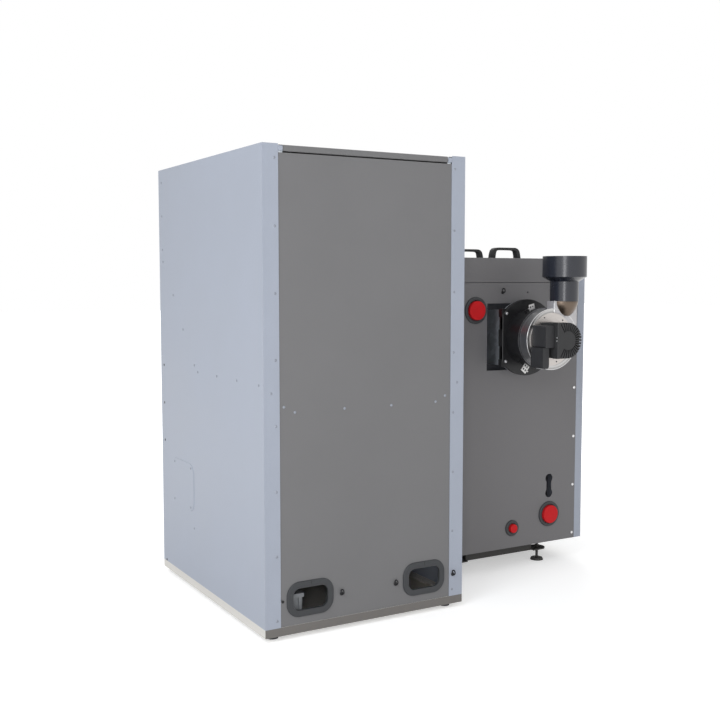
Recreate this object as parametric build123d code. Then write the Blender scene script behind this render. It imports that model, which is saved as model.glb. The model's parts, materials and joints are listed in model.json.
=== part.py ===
from build123d import *
from math import atan, cos, degrees, radians, sin, tan
import os

# Pellet boiler with a free-standing hopper cabinet beside it, in millimetres.
# X runs to the right seen from the front, Y to the back and Z up from the floor.
# The origin is on the floor, under the middle of the whole object.

# Overall sizes
cabinet_width = 710.0
cabinet_depth = 898.0
cabinet_height = 1450.0
boiler_width = 634.0
boiler_depth = 648.0
boiler_top = 1152.0
casing_gap = 106.0
sheet = 2.0
fit_gap = 0.3
seam_gap = 3.0

# Feet and plinth of the hopper cabinet
pad_height = 15.0
pad_radius = 18.0
pad_inset = 42.0
plinth_height = 26.0
plinth_wall = 3.0

# Hopper cabinet casing
back_flange = 51.0
front_lip = 12.0
lid_drop = 3.0
lid_skirt = 18.0
lid_overhang = 12.0
lid_side_gap = 2.0
lid_corner_notch = 14.0
hinge_pin_radius = 4.0
running_gap = 0.06
hinge_setback = 8.0
hinge_drop = 9.0
lug_width = 15.0
rail_depth = 16.0
panel_below_hinge = 13.0
collar_depth = 25.0
collar_width = 30.0
front_thickness = 18.0
cabinet_door_height = 830.0
pivot_offset = 9.0
pivot_length = 12.0

# Ports, anchors and the blanked opening
port_inset = 150.0
port_level = 118.0
port_width = 138.0
port_height = 88.0
port_corner = 32.0
trim_lip = 10.0
trim_thickness = 4.0
anchor_radius = 7.0
anchor_bore = 4.0
anchor_stalk = 10.0
panel_anchors = [258.0, 453.0]
flange_anchor = 672.0
anchor_level = 113.0
boiler_anchor_inset = 390.0
boiler_anchor_drop = 35.0
cable_hole_radius = 3.0
feed_opening_depth = 180.0
feed_opening_height = 130.0
blank_depth = 216.0
blank_height = 166.0
blank_corner = 40.0
blank_thickness = 1.5

# Hopper and pellet feed
funnel_top = 767.0
front_slope = 49.4
side_slope = 39.7
back_slope = 51.0
trough_inner = 50.0
tube_wall = 3.0
dosing_level = 462.0
trough_back_inset = 115.0
outlet_back_inset = 132.0
outlet_length = 209.0
feed_inset = 213.0
trough_end = 52.0
stoker_inner = 42.0
stoker_level = 360.0
drop_half = 40.0
drop_joint_level = 407.0
flight_gap = 4.0
flight_thickness = 3.0
flight_pitch = 110.0
auger_shaft_radius = 10.0
auger_clear = 0.5
stoker_end = 62.0
tube_flange = 200.0
tube_flange_height = 150.0
gearbox_side = 90.0
gearbox_height = 46.0
gear_motor_radius = 32.0
gear_motor_length = 50.0
gear_bore_depth = 28.0
box_inset = 60.0
box_width = 100.0
box_depth = 70.0
box_height = 95.0
box_gap = 70.0
box_ribs = 4
box_rib = 8.0
box_lid = 12.0

# Boiler casing
casing_bottom = 84.0
cover_height = 89.0
cover_depth = 400.0
casing_flange = 33.0
casing_lip = 22.0
cutout = 242.0
flue_level = 868.0
flue_inset = 337.0
slot_width = 34.0
slot_height = 90.0
slot_waist = 24.0
slot_level = 299.0
handle_spread = 230.0
handle_back_inset = 85.0
handle_pitch = 117.0
handle_height = 40.0
handle_width = 24.0
handle_bar = 11.0
feeler_hole_radius = 3.0
console_front_height = 30.0
console_slope_depth = 120.0
screw_gap = 0.5

# Base frame and levelling feet of the boiler
foot_setback = 66.0
foot_outer_inset = 160.0
foot_inner_inset = 86.0
foot_pad_radius = 25.0
foot_pad_height = 8.0
stud_radius = 5.0
frame_bottom = 45.0
frame_leg = 5.0
frame_width = 70.0
lug_radius = 30.0
lug_overhang = 40.0
frame_overhang = 16.0
rail_width = 40.0
rail_height = 10.0
rail_tab = 45.0

# Boiler vessel
vessel_inset = 342.0
vessel_width = 440.0
vessel_back_gap = 50.0
vessel_top = 1000.0
chamber_width = 300.0
chamber_depth = 376.0
chamber_bottom = 120.0
chamber_top = 760.0
tube_count = 4
tube_pitch = 92.0
tube_radius = 33.0
tube_row_inset = 150.0
passage_bottom = 300.0
passage_top = 420.0
header_bottom = 930.0
header_depth = 130.0
flue_port = 170.0
cleaning_cover_thickness = 10.0
cover_tongue = 4.0
cover_nut = 8.0
vessel_corner = 6.0
vessel_wall = 30.0

# Turbulators and their lifting shaft
turbulator_width = 54.0
turbulator_thickness = 3.0
turbulator_length = 520.0
turbulator_steps = 20
step_turn = 45.0
rack_thickness = 4.0
rack_half_depth = 8.0
rack_level = 960.0
lift_arm = 46.0
lift_swing = 30.0
arm_tip = 6.0
arm_gap = 0.5
arm_width = 10.0

# Water pipes, grommets and caps
pipe_radius = 30.2
pipe_bore = 26.5
drain_radius = 12.2
drain_bore = 9.0
pipe_reach = 8.0
cap_wall = 3.6
grommet_width = 13.4
grommet_height = 6.0
flow_inset = 509.6
flow_level = 965.0
return_inset = 160.4
return_level = 191.5
drain_inset = 335.4
drain_level = 157.5

# Fire door, ash drawer and burner
fire_opening_width = 300.0
fire_opening_bottom = 420.0
fire_opening_height = 270.0
fire_door_width = 400.0
fire_door_height = 360.0
fire_door_thickness = 20.0
seal_gap = 1.0
fire_plug_thickness = 50.0
fire_plug_gap = 14.0
door_hinge_offset = 14.0
barrel_radius = 9.0
barrel_length = 50.0
fire_handle_length = 120.0
fire_handle_radius = 7.0
fire_handle_reach = 24.0
fire_boss_radius = 13.0
fire_grip_radius = 8.0
drawer_width = 270.0
drawer_height = 140.0
drawer_depth = 290.0
drawer_wall = 3.0
drawer_gap = 4.0
drawer_face_width = 340.0
drawer_face_height = 190.0
drawer_face_thickness = 15.0
pot_radius = 95.0
pot_flat = 80.0
pot_wall = 12.0
pot_top = 445.0
pot_rim = 30.0

# Flue fan, measured outwards from the rear panel
duct_reach = 56.0
duct_side = 196.0
duct_wall = 4.0
flange_thickness = 8.0
flange_radius = 135.0
flange_half_width = 104.0
bolt_across = 150.0
bolt_up = 174.0
bolt_radius = 4.0
housing_flange = 10.0
drum_radius = 98.0
drum_depth = 84.0
drum_rim = 108.0
drum_rim_depth = 10.0
drum_wall = 6.0
scroll_depth = 47.0
scroll_start = 98.0
scroll_step = 10.0
scroll_wall = 2.0
scroll_flange = 3.0
scroll_groove = 3.0
groove_radius = 88.0
service_radius = 80.0
inlet_radius = 62.0
face_radius = 92.0
face_thickness = 3.0
face_groove = 70.0
motor_depth = 60.0
motor_half = 60.0
motor_reach = 48.0
cap_depth = 27.0
cap_radius = 61.0
cap_slots = 24
cap_slot_width = 4.0
cap_slot_inner = 32.0
fan_shaft_radius = 6.0
impeller_radius = 76.0
impeller_depth = 30.0
blade_count = 8
blade_thickness = 2.0
flue_offset = 75.0
neck_half_width = 48.0
neck_start = 76.0
neck_radius = 48.0
neck_foot = 20.0
neck_stub = 28.0
adaptor_start = 131.0
cone_start = 200.0
socket_start = 216.0
socket_end = 288.0
socket_bore = 75.3
socket_wall = 1.5
clip_angles = [113.0, 233.0]
clip_pivot = 111.5
clip_pin_radius = 2.0
clip_width = 24.0
clip_length = 30.0
clip_thickness = 2.5
clip_nose = 5.5
terminal_width = 37.0
terminal_height = 75.0
terminal_depth = 70.0
plug_width = 27.0
plug_height = 71.0
plug_depth = 64.0

# Controls on the console
display_width = 150.0
display_height = 62.0
display_thickness = 3.0
knob_radius = 17.0
knob_height = 16.0
knob_stem_radius = 3.0
switch_width = 21.0
switch_height = 15.0
switch_tilt = 7.0

# Places worked out from the sizes above
fan_reach = (duct_reach + flange_thickness + housing_flange + drum_depth + scroll_depth
             + face_thickness + motor_depth + cap_depth)
front_reach = fit_gap + drawer_face_thickness + handle_height
half_width = (cabinet_width + casing_gap + boiler_width + blank_thickness) / 2
boiler_left = -half_width
boiler_right = boiler_left + boiler_width
cabinet_left = boiler_right + casing_gap
cabinet_right = half_width - blank_thickness
cabinet_middle = (cabinet_left + cabinet_right) / 2
front = front_reach - (front_reach + boiler_depth + fan_reach) / 2
boiler_back = front + boiler_depth
cabinet_back = front + cabinet_depth
cabinet_top = pad_height + cabinet_height
plinth_top = pad_height + plinth_height
panel_top = boiler_top - cover_height

lid_top = cabinet_top - lid_drop
hinge_y = cabinet_back - hinge_setback
hinge_z = lid_top - hinge_drop
shelf_level = hinge_z - panel_below_hinge
front_panel_top = lid_top - lid_skirt - sheet
door_bottom = plinth_top + seam_gap
door_top = door_bottom + cabinet_door_height
front_left = cabinet_left + front_lip + seam_gap / 2
front_right = cabinet_right - front_lip - seam_gap / 2
pivot_x = front_right - pivot_offset
pivot_y = front + pivot_offset

feed_y = front + feed_inset
outlet_front = cabinet_back - outlet_back_inset - outlet_length
trough_outer = trough_inner + tube_wall
stoker_outer = stoker_inner + tube_wall
inner_half = cabinet_width / 2 - sheet
trough_top = funnel_top - (inner_half - trough_inner) * tan(radians(side_slope))
trough_back = cabinet_back - trough_back_inset
trough_front = feed_y - trough_end
outlet_back = cabinet_back - outlet_back_inset
hopper_back = cabinet_back - 2 * sheet

flue_x = boiler_left + flue_inset
vessel_x = boiler_left + vessel_inset
vessel_left = vessel_x - vessel_width / 2
vessel_right = vessel_x + vessel_width / 2
vessel_back = boiler_back - vessel_back_gap
vessel_front = front + sheet
tube_row_y = vessel_back - tube_row_inset
stoker_tip = vessel_x + pot_flat
stoker_back_x = cabinet_middle + stoker_end
header_front = tube_row_y - header_depth / 2
header_back = tube_row_y + header_depth / 2
lift_shaft_y = tube_row_y - lift_arm
lift_shaft_z = rack_level - rack_thickness / 2 - arm_gap - arm_tip + lift_arm * sin(radians(lift_swing / 2))
fan_plane = Plane(origin=(flue_x, boiler_back, flue_level), x_dir=(-1, 0, 0), z_dir=(0, 1, 0))
flange_face = duct_reach + flange_thickness
drum_face = flange_face + housing_flange
scroll_face = drum_face + drum_depth
plate_face = scroll_face + scroll_depth
motor_face = plate_face + face_thickness
cap_face = motor_face + motor_depth
scroll_back = scroll_face + scroll_flange + scroll_groove
scroll_middle = (scroll_back + plate_face) / 2
fire_hinge_x = vessel_x - fire_door_width / 2 - door_hinge_offset
fire_hinge_y = front - barrel_radius - seal_gap
fire_middle_z = fire_opening_bottom + fire_opening_height / 2
fire_handle_x = vessel_x + fire_door_width / 2 - 40.0
drawer_level = chamber_bottom + 8.0
knob_x = vessel_x + 150.0
switch_x = vessel_x - 150.0
console_tilt = degrees(atan((cover_height - console_front_height) / console_slope_depth))
console_middle = Plane(
    origin=(vessel_x, front + console_slope_depth / 2, panel_top + (cover_height + console_front_height) / 2),
    x_dir=(1, 0, 0),
    z_dir=(0, -sin(radians(console_tilt)), cos(radians(console_tilt))),
)


# Small helpers

def slab(x0, x1, y0, y1, z0, z1):
    """A plain block between two corners."""
    return Pos((x0 + x1) / 2, (y0 + y1) / 2, (z0 + z1) / 2) * Box(x1 - x0, y1 - y0, z1 - z0)


def folded_plan(points, thickness, z0, z1):
    """A sheet folded along a plan outline, its thickness on the left of the line."""
    line = Wire(Polyline(*points).edges())
    outline = line.offset_2d(thickness, kind=Kind.INTERSECTION, side=Side.LEFT)
    return Pos(0, 0, z0) * extrude(Face(outline), z1 - z0)


def side_prism(points, x0, x1):
    """A Y-Z outline drawn out from x0 to x1."""
    return extrude(Plane.YZ.offset(x0) * Polygon(*points, align=None), x1 - x0, dir=(1, 0, 0))


def front_prism(points, y0, y1):
    """An X-Z outline drawn out from y0 to y1."""
    plane = Plane(origin=(0, y1, 0), x_dir=(1, 0, 0), z_dir=(0, -1, 0))
    return extrude(plane * Polygon(*points, align=None), y1 - y0, dir=(0, -1, 0))


def rounded_bar(plane, width, height, radius, depth):
    """A rounded rectangle on a plane, drawn out along the plane's normal."""
    return extrude(plane * RectangleRounded(width, height, radius), depth)


def wall_plane(x, y, z):
    """A plane facing the back of the object."""
    return Plane(origin=(x, y, z), x_dir=(-1, 0, 0), z_dir=(0, 1, 0))


def side_plane(x, y, z):
    """A plane facing the right of the object."""
    return Plane(origin=(x, y, z), x_dir=(0, 1, 0), z_dir=(1, 0, 0))


def rod_x(x0, x1, y, z, radius):
    """A round bar along X."""
    return extrude(side_plane(x0, y, z) * Circle(radius), x1 - x0)


def rod_y(x, y0, y1, z, radius):
    """A round bar along Y."""
    return extrude(wall_plane(x, y0, z) * Circle(radius), y1 - y0)


def rod_z(x, y, z0, z1, radius):
    """A round bar along Z."""
    return Pos(x, y, z0) * extrude(Circle(radius), z1 - z0)


def group(solids):
    """Separate solids that share one node."""
    return Compound(children=[piece.solid() for piece in solids])


def bridge_handle():
    """A moulded bridge handle standing on Z = 0, its grip along X."""
    half = handle_pitch / 2
    outer = [(-half - 8, 0), (-half - 4, handle_height - 12), (-half + 10, handle_height),
             (half - 10, handle_height), (half + 4, handle_height - 12), (half + 8, 0)]
    inner = [(-half + 8, 0), (-half + 10, handle_height - 18), (-half + 17, handle_height - handle_bar),
             (half - 17, handle_height - handle_bar), (half - 10, handle_height - 18), (half - 8, 0)]
    profile = Polygon(*outer, align=None) - Polygon(*inner, align=None)
    bar = extrude(Plane.XZ * profile, handle_width / 2, both=True)
    top_edges = bar.edges().filter_by(Axis.X).sort_by(Axis.Z)[-2:]
    return fillet(top_edges, 4)


# Hopper cabinet casing

def cabinet_plinth():
    """An open tray that the casing stands on."""
    tray = slab(cabinet_left, cabinet_right, front, cabinet_back, pad_height, plinth_top)
    well = slab(cabinet_left + plinth_wall, cabinet_right - plinth_wall, front + plinth_wall,
                cabinet_back - plinth_wall, pad_height + plinth_wall, plinth_top)
    rim = slab(cabinet_left + plinth_wall, cabinet_right - plinth_wall, front + plinth_wall,
               cabinet_back - plinth_wall, plinth_top - sheet, plinth_top)
    rim_hole = slab(cabinet_left + collar_width, cabinet_right - collar_width, front + collar_width,
                    cabinet_back - collar_width, plinth_top - sheet, plinth_top)
    return tray - well + (rim - rim_hole)


def cabinet_feet():
    """Four low rubber pads under the plinth."""
    pad = extrude(Circle(pad_radius), pad_height, taper=4)
    places = [(cabinet_left + pad_inset, front + pad_inset), (cabinet_right - pad_inset, front + pad_inset),
              (cabinet_left + pad_inset, cabinet_back - pad_inset),
              (cabinet_right - pad_inset, cabinet_back - pad_inset)]
    return group([Pos(x, y, 0) * pad for x, y in places])


def cabinet_side_blank():
    """Right side panel: front lip, side and back flange, with the feed opening."""
    points = [(cabinet_right - front_lip, front), (cabinet_right, front), (cabinet_right, cabinet_back),
              (cabinet_right - back_flange, cabinet_back)]
    panel = folded_plan(points, sheet, plinth_top, cabinet_top)
    panel -= slab(cabinet_right - front_lip, cabinet_right - sheet, front, front + sheet, front_panel_top,
                  cabinet_top)
    opening = rounded_bar(side_plane(cabinet_right - 2 * sheet, feed_y, stoker_level),
                          feed_opening_depth, feed_opening_height, blank_corner / 2, 4 * sheet)
    return panel - opening


def cabinet_rear_panel():
    """Dark rear panel, held behind the flanges of the side panels."""
    panel = slab(cabinet_left + sheet + fit_gap, cabinet_right - sheet - fit_gap,
                 cabinet_back - 2 * sheet, cabinet_back - sheet, plinth_top, shelf_level)
    for inset in (port_inset, cabinet_width - port_inset):
        plane = wall_plane(cabinet_right - inset, cabinet_back - 3 * sheet, port_level)
        panel -= rounded_bar(plane, port_width, port_height, port_corner, 4 * sheet)
    hole_inset = port_inset - port_width / 2 - 28.0
    panel -= rod_y(cabinet_right - hole_inset, cabinet_back - 3 * sheet, cabinet_back, port_level + 5.0,
                   cable_hole_radius)
    return panel


def port_trims():
    """Rubber edge trims around the two cable ports, a slot gripping the sheet."""
    trims = []
    for inset in (port_inset, cabinet_width - port_inset):
        centre = wall_plane(cabinet_right - inset, cabinet_back - sheet - 1.0 - trim_thickness, port_level)
        outer = rounded_bar(centre, port_width + 2 * trim_lip, port_height + 2 * trim_lip,
                            port_corner + trim_lip, sheet + 2 * trim_thickness)
        outer = fillet(outer.faces().sort_by(Axis.Y)[-1].edges(), trim_thickness - 1.0)
        hole = rounded_bar(centre, port_width - 20.0, port_height - 20.0, port_corner - 10.0,
                           sheet + 2 * trim_thickness)
        grip = slab(cabinet_left, cabinet_right, cabinet_back - 2 * sheet, cabinet_back - sheet, 0, cabinet_top)
        web = rounded_bar(centre, port_width, port_height, port_corner, sheet + 2 * trim_thickness)
        trims.append(outer - hole - (grip - web))
    return group(trims)


def cable_anchor():
    """A push-in cable tie mount: foot disc, stalk and ring, standing on Z = 0."""
    foot = extrude(Circle(anchor_radius), 2.0)
    stalk = Pos(0, 0, anchor_stalk / 2) * Box(4.0, 6.0, anchor_stalk)
    ring_plane = Plane(origin=(0, 3.0, anchor_stalk + anchor_bore), x_dir=(1, 0, 0), z_dir=(0, -1, 0))
    ring = extrude(ring_plane * (Circle(anchor_radius) - Circle(anchor_bore)), 6.0)
    return foot + stalk + ring


def cable_anchors():
    """Two anchors on the cabinet's rear panel, one on its flange and one on the boiler's rear."""
    anchor = Rot(0, 0, 90) * cable_anchor()
    planes = [wall_plane(cabinet_right - inset, cabinet_back - sheet, anchor_level) for inset in panel_anchors]
    planes.append(wall_plane(cabinet_right - flange_anchor, cabinet_back, anchor_level))
    planes.append(wall_plane(boiler_left + boiler_anchor_inset, boiler_back, panel_top - boiler_anchor_drop))
    return group([plane.location * anchor for plane in planes])


def blanking_plate():
    """Pressed cover over the unused feed opening in the outer side."""
    plane = side_plane(cabinet_right, feed_y, stoker_level)
    plate = rounded_bar(plane, blank_depth, blank_height, blank_corner, blank_thickness)
    return chamfer(plate.faces().sort_by(Axis.X)[-1].edges(), 0.9)


def cabinet_front_panel():
    """Fixed upper front, a shallow tray between the side panels."""
    tray = slab(front_left, front_right, front, front + front_thickness, door_top + seam_gap, front_panel_top)
    pocket = slab(front_left + sheet, front_right - sheet, front + sheet, front + front_thickness,
                  door_top + seam_gap + sheet, front_panel_top - sheet)
    return tray - pocket


def cabinet_door():
    """Lower front door, its hinge edge rounded about the pivot."""
    leaf = slab(front_left, front_right, front, front + front_thickness, door_bottom, door_top)
    hinge_edges = leaf.edges().filter_by(Axis.Z).group_by(Axis.X)[-1]
    leaf = fillet(hinge_edges, pivot_offset - 0.1)
    leaf -= slab(front_left + sheet, front_right - 3 * pivot_offset, front + sheet, front + front_thickness,
                 door_bottom + 2 * pivot_length, door_top - 2 * pivot_length)
    for z0, z1 in ((door_bottom, door_bottom + pivot_length), (door_top - pivot_length, door_top)):
        leaf -= rod_z(pivot_x, pivot_y, z0, z1, hinge_pin_radius + running_gap)
    return leaf


def cabinet_door_handle():
    """Bridge handle, upright near the door's free edge."""
    turn = Plane(origin=(front_left + 45.0, front, (door_bottom + door_top) / 2 + 150.0),
                 x_dir=(0, 0, 1), z_dir=(0, -1, 0))
    return turn.location * bridge_handle()


def hinge_pins():
    """Pivot pins of the cabinet door and hinge pins of the fire door."""
    pins = [rod_z(pivot_x, pivot_y, plinth_top, door_bottom + pivot_length - 1.0, hinge_pin_radius),
            rod_z(pivot_x, pivot_y, door_top - pivot_length + 1.0, door_top + seam_gap, hinge_pin_radius)]
    for side in (-1, 1):
        middle = fire_middle_z + side * fire_door_height / 3
        reach = barrel_length / 2
        pin = rod_z(fire_hinge_x, fire_hinge_y, middle - reach - 12.0, middle + reach + 12.0, hinge_pin_radius)
        for end in (middle - reach - 12.0, middle + reach + 2.0):
            knuckle = rod_z(fire_hinge_x, fire_hinge_y, end, end + 10.0, barrel_radius)
            leg = slab(fire_hinge_x - barrel_radius, fire_hinge_x, fire_hinge_y, front, end, end + 10.0)
            pin = pin + knuckle + leg
        pins.append(pin)
    return group(pins)


# Hopper, lid and pellet feed

def hopper_collar():
    """Angle frame round the hopper mouth, with the two lid hinge lugs on its back."""
    x0 = cabinet_left + sheet
    x1 = cabinet_right - sheet
    y0 = front + front_thickness
    y1 = hopper_back
    low = shelf_level - collar_depth
    frame = slab(x0, x1, y0, y1, low, shelf_level)
    frame -= slab(x0 + sheet, x1 - sheet, y0 + sheet, y1 - sheet, low, shelf_level - sheet)
    frame -= slab(x0 + collar_width, x1 - collar_width, y0 + collar_width, y1 - collar_width, low, shelf_level)
    for side in (-1, 1):
        edge = cabinet_middle + side * (cabinet_width / 2 - back_flange - fit_gap)
        inner = edge - side * lug_width
        low_x, high_x = sorted((edge, inner))
        lug = slab(low_x, high_x, hinge_y - hinge_setback, hopper_back, shelf_level, hinge_z)
        lug += rod_x(low_x, high_x, hinge_y, hinge_z, hinge_setback)
        tip = inner - side * (pivot_length - 1.0)
        low_pin, high_pin = sorted((inner, tip))
        frame += lug + rod_x(low_pin, high_pin, hinge_y, hinge_z, hinge_pin_radius)
    return frame


def hopper_lid():
    """Folded lid with side skirts, an overhanging front edge and a hinge rail at the back."""
    x0 = cabinet_left + sheet + lid_side_gap
    x1 = cabinet_right - sheet - lid_side_gap
    low = lid_top - lid_skirt
    y_front = front - lid_overhang
    y_back = hinge_y - lid_corner_notch
    lid = slab(x0, x1, y_front, y_back, lid_top - sheet, lid_top)
    lid += slab(x0, x1, y_front, y_front + sheet, low, lid_top)
    lid += slab(x0, x1, y_front, front - seam_gap, low, low + sheet)
    for side_x in (x0, x1 - sheet):
        lid += slab(side_x, side_x + sheet, y_front, y_back, low, lid_top)
    rail_half = cabinet_width / 2 - back_flange - lug_width - 1.5
    rail = slab(cabinet_middle - rail_half, cabinet_middle + rail_half, y_back, cabinet_back, low, lid_top)
    rear_edges = rail.edges().filter_by(Axis.X).group_by(Axis.Y)[-1]
    rail = chamfer(rear_edges, 1.5)
    for side in (-1, 1):
        end = cabinet_middle + side * rail_half
        deep = end - side * pivot_length
        bore_low, bore_high = sorted((end, deep))
        rail -= rod_x(bore_low, bore_high, hinge_y, hinge_z, hinge_pin_radius + running_gap)
    return lid + rail


def hopper_front_wall():
    """Front wall of the hopper: upright, then sloping back to the funnel."""
    back_face = front + front_thickness + 2 * sheet
    slope_end = front_slope_end()
    knee = funnel_top + (slope_end - back_face) * tan(radians(front_slope))
    drop = sheet / cos(radians(front_slope))
    top = shelf_level - collar_depth
    points = [(back_face, top), (back_face, knee), (slope_end, funnel_top),
              (slope_end - drop / tan(radians(front_slope)), funnel_top),
              (back_face - sheet, knee - drop), (back_face - sheet, top)]
    return side_prism(points, cabinet_left + sheet, cabinet_right - sheet)


def front_slope_end():
    """Where the front slope reaches the funnel's upper edge."""
    return outlet_front - (funnel_top - trough_top) / tan(radians(front_slope))


def hopper_funnel():
    """Four sloping walls down to the dosing trough."""
    back_knee = trough_top + (hopper_back - outlet_back) * tan(radians(back_slope))
    across = [(cabinet_middle - inner_half, funnel_top), (cabinet_middle + inner_half, funnel_top),
              (cabinet_middle + trough_inner, trough_top), (cabinet_middle - trough_inner, trough_top)]
    along = [(front_slope_end(), funnel_top), (hopper_back, funnel_top), (hopper_back, back_knee),
             (outlet_back, trough_top), (outlet_front, trough_top)]
    body = front_prism(across, front, cabinet_back) & side_prism(along, cabinet_left, cabinet_right)
    drop = sheet / cos(radians(side_slope))
    shell = body - Pos(0, 0, drop) * body
    mouth = slab(cabinet_middle - trough_inner, cabinet_middle + trough_inner, outlet_front, outlet_back,
                 trough_top - 1.0, trough_top + 3 * drop)
    return shell - mouth


def dosing_tube():
    """Trough under the hopper outlet, closed to a tube and ending over the drop shaft."""
    x = cabinet_middle
    body = rod_y(x, trough_front, trough_back, dosing_level, trough_outer)
    body += slab(x - trough_outer, x + trough_outer, outlet_front - tube_wall, outlet_back + tube_wall,
                 dosing_level, trough_top)
    body += slab(x - drop_half - tube_wall, x + drop_half + tube_wall, feed_y - drop_half - tube_wall,
                 feed_y + drop_half + tube_wall, drop_joint_level, dosing_level)
    body -= rod_y(x, trough_front + tube_wall, trough_back - tube_wall, dosing_level, trough_inner)
    body -= slab(x - trough_inner, x + trough_inner, outlet_front, outlet_back, dosing_level, trough_top)
    body -= slab(x - drop_half, x + drop_half, feed_y - drop_half, feed_y + drop_half, drop_joint_level,
                 dosing_level)
    body -= rod_y(x, trough_back - tube_wall, trough_back, dosing_level, auger_shaft_radius + auger_clear)
    return body - rod_y(x, trough_front, trough_front + tube_wall, dosing_level, auger_shaft_radius + running_gap)


def stoker_tube():
    """Tube that crosses from the drop shaft to the burner, with its two fixing flanges."""
    x = cabinet_middle
    body = rod_x(stoker_tip, stoker_back_x, feed_y, stoker_level, stoker_outer)
    body += slab(x - drop_half - tube_wall, x + drop_half + tube_wall, feed_y - drop_half - tube_wall,
                 feed_y + drop_half + tube_wall, stoker_level, drop_joint_level)
    cabinet_flange = side_plane(cabinet_left - tube_wall, feed_y, stoker_level)
    body += rounded_bar(cabinet_flange, tube_flange, tube_flange_height, blank_corner / 2, tube_wall)
    vessel_flange = side_plane(vessel_right, feed_y, stoker_level)
    body += rounded_bar(vessel_flange, 2.6 * stoker_outer, 2.6 * stoker_outer, 12.0, 6.0)
    body -= rod_x(stoker_tip, stoker_back_x - tube_wall, feed_y, stoker_level, stoker_inner)
    body -= slab(x - drop_half, x + drop_half, feed_y - drop_half, feed_y + drop_half, stoker_level,
                 drop_joint_level)
    return body - rod_x(stoker_back_x - tube_wall, stoker_back_x, feed_y, stoker_level,
                        auger_shaft_radius + auger_clear)


def auger(length, radius, shaft_extra):
    """A shaft along Z with one helical flight; the shaft runs on past both ends."""
    middle = (auger_shaft_radius - 1.0 + radius) / 2
    helix = Helix(pitch=flight_pitch, height=length, radius=middle)
    start = Plane(origin=helix @ 0, x_dir=(1, 0, 0), z_dir=helix % 0)
    flight = sweep(start * Rectangle(radius - auger_shaft_radius + 1.0, flight_thickness), path=helix, is_frenet=True)
    shaft = Pos(0, 0, -shaft_extra[0]) * extrude(Circle(auger_shaft_radius), length + sum(shaft_extra))
    return shaft + flight


def dosing_auger():
    """Screw in the dosing trough, its shaft in the gearmotor at the back."""
    flight_front = trough_front + tube_wall + 8.0
    flight_back = trough_back - tube_wall - 12.0
    ends = (8.0 + tube_wall - 1.0, 12.0 + tube_wall + gear_bore_depth - 2.0)
    screw = auger(flight_back - flight_front, trough_inner - flight_gap, ends)
    return wall_plane(cabinet_middle, flight_front, dosing_level).location * screw


def stoker_auger():
    """Screw in the stoker tube, its shaft in the gearmotor at the cabinet end."""
    flight_tip = stoker_tip + 14.0
    flight_end = stoker_back_x - tube_wall - 12.0
    ends = (2.0, 12.0 + tube_wall + gear_bore_depth - 2.0)
    screw = auger(flight_end - flight_tip, stoker_inner - flight_gap, ends)
    return side_plane(flight_tip, feed_y, stoker_level).location * screw


def gearmotor():
    """Gearbox and motor in line, output bore at Z = 0, standing on its mounting face."""
    box = extrude(RectangleRounded(gearbox_side, gearbox_side, 10.0), gearbox_height)
    box = chamfer(box.faces().sort_by(Axis.Z)[-1].edges(), 3.0)
    motor = Pos(0, 0, gearbox_height) * extrude(Circle(gear_motor_radius), gear_motor_length)
    for turn in range(0, 360, 45):
        fin = Rot(0, 0, turn) * Pos(gear_motor_radius + 1.0, 0, gearbox_height + gear_motor_length / 2)
        motor += fin * Box(6.0, 3.0, gear_motor_length)
    lead_box = Pos(0, gear_motor_radius + 8.0, gearbox_height + 15.0) * Box(36.0, 24.0, 30.0)
    bore = extrude(Circle(auger_shaft_radius + running_gap), gear_bore_depth)
    return box + motor + lead_box - bore


def gearmotors():
    """The three equal drives: dosing screw, stoker screw and turbulator lift."""
    drive = gearmotor()
    dosing = wall_plane(cabinet_middle, trough_back, dosing_level).location * drive
    stoker = side_plane(stoker_back_x, feed_y, stoker_level).location * drive
    lift_plane = Plane(origin=(vessel_left, lift_shaft_y, lift_shaft_z), x_dir=(0, -1, 0), z_dir=(-1, 0, 0))
    lift = lift_plane.location * drive
    return group([dosing, stoker, lift])


def junction_box():
    """Ribbed junction box standing in the plinth behind the left cable port."""
    x0 = cabinet_right - box_inset - box_width
    y0 = hopper_back - box_gap - box_depth
    floor = pad_height + plinth_wall
    box = slab(x0, x0 + box_width, y0, y0 + box_depth, floor, floor + box_height)
    box = fillet(box.edges().filter_by(Axis.Z), 3.0)
    for k in range(box_ribs):
        x = x0 + (k + 0.5) * box_width / box_ribs
        box += slab(x - box_rib / 2, x + box_rib / 2, y0 + box_depth - 1.0, y0 + box_depth + box_rib,
                    floor, floor + box_height - box_lid)
    lid = slab(x0 - 2.0, x0 + box_width + 2.0, y0 - 2.0, y0 + box_depth + box_rib + 1.0,
               floor + box_height - box_lid, floor + box_height)
    return box + fillet(lid.edges().filter_by(Axis.Z), 3.0)


# Boiler casing

def boiler_side_blank():
    """The left side panel: front lip, side, back flange and the stepped lip for the rear panel."""
    x = boiler_left
    points = [(x + casing_flange + casing_lip, boiler_back - sheet), (x + casing_flange, boiler_back - sheet),
              (x + casing_flange, boiler_back), (x, boiler_back), (x, front + sheet),
              (x + front_lip, front + sheet)]
    return folded_plan(points, sheet, casing_bottom, panel_top)


def boiler_inner_side():
    """Side panel facing the cabinet, holed for the stoker tube."""
    middle = Plane.YZ.offset((boiler_left + boiler_right) / 2)
    panel = mirror(boiler_side_blank(), about=middle)
    return panel - rod_x(boiler_right - 2 * sheet, boiler_right + sheet, feed_y, stoker_level, stoker_outer + 5.0)


def slot_outline():
    """Dumbbell cable slot: two round ends and a narrower waist."""
    end = slot_width / 2
    reach = slot_height / 2 - end
    shape = Rectangle(slot_waist, 2 * reach)
    return shape + Pos(0, reach) * Circle(end) + Pos(0, -reach) * Circle(end)


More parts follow.
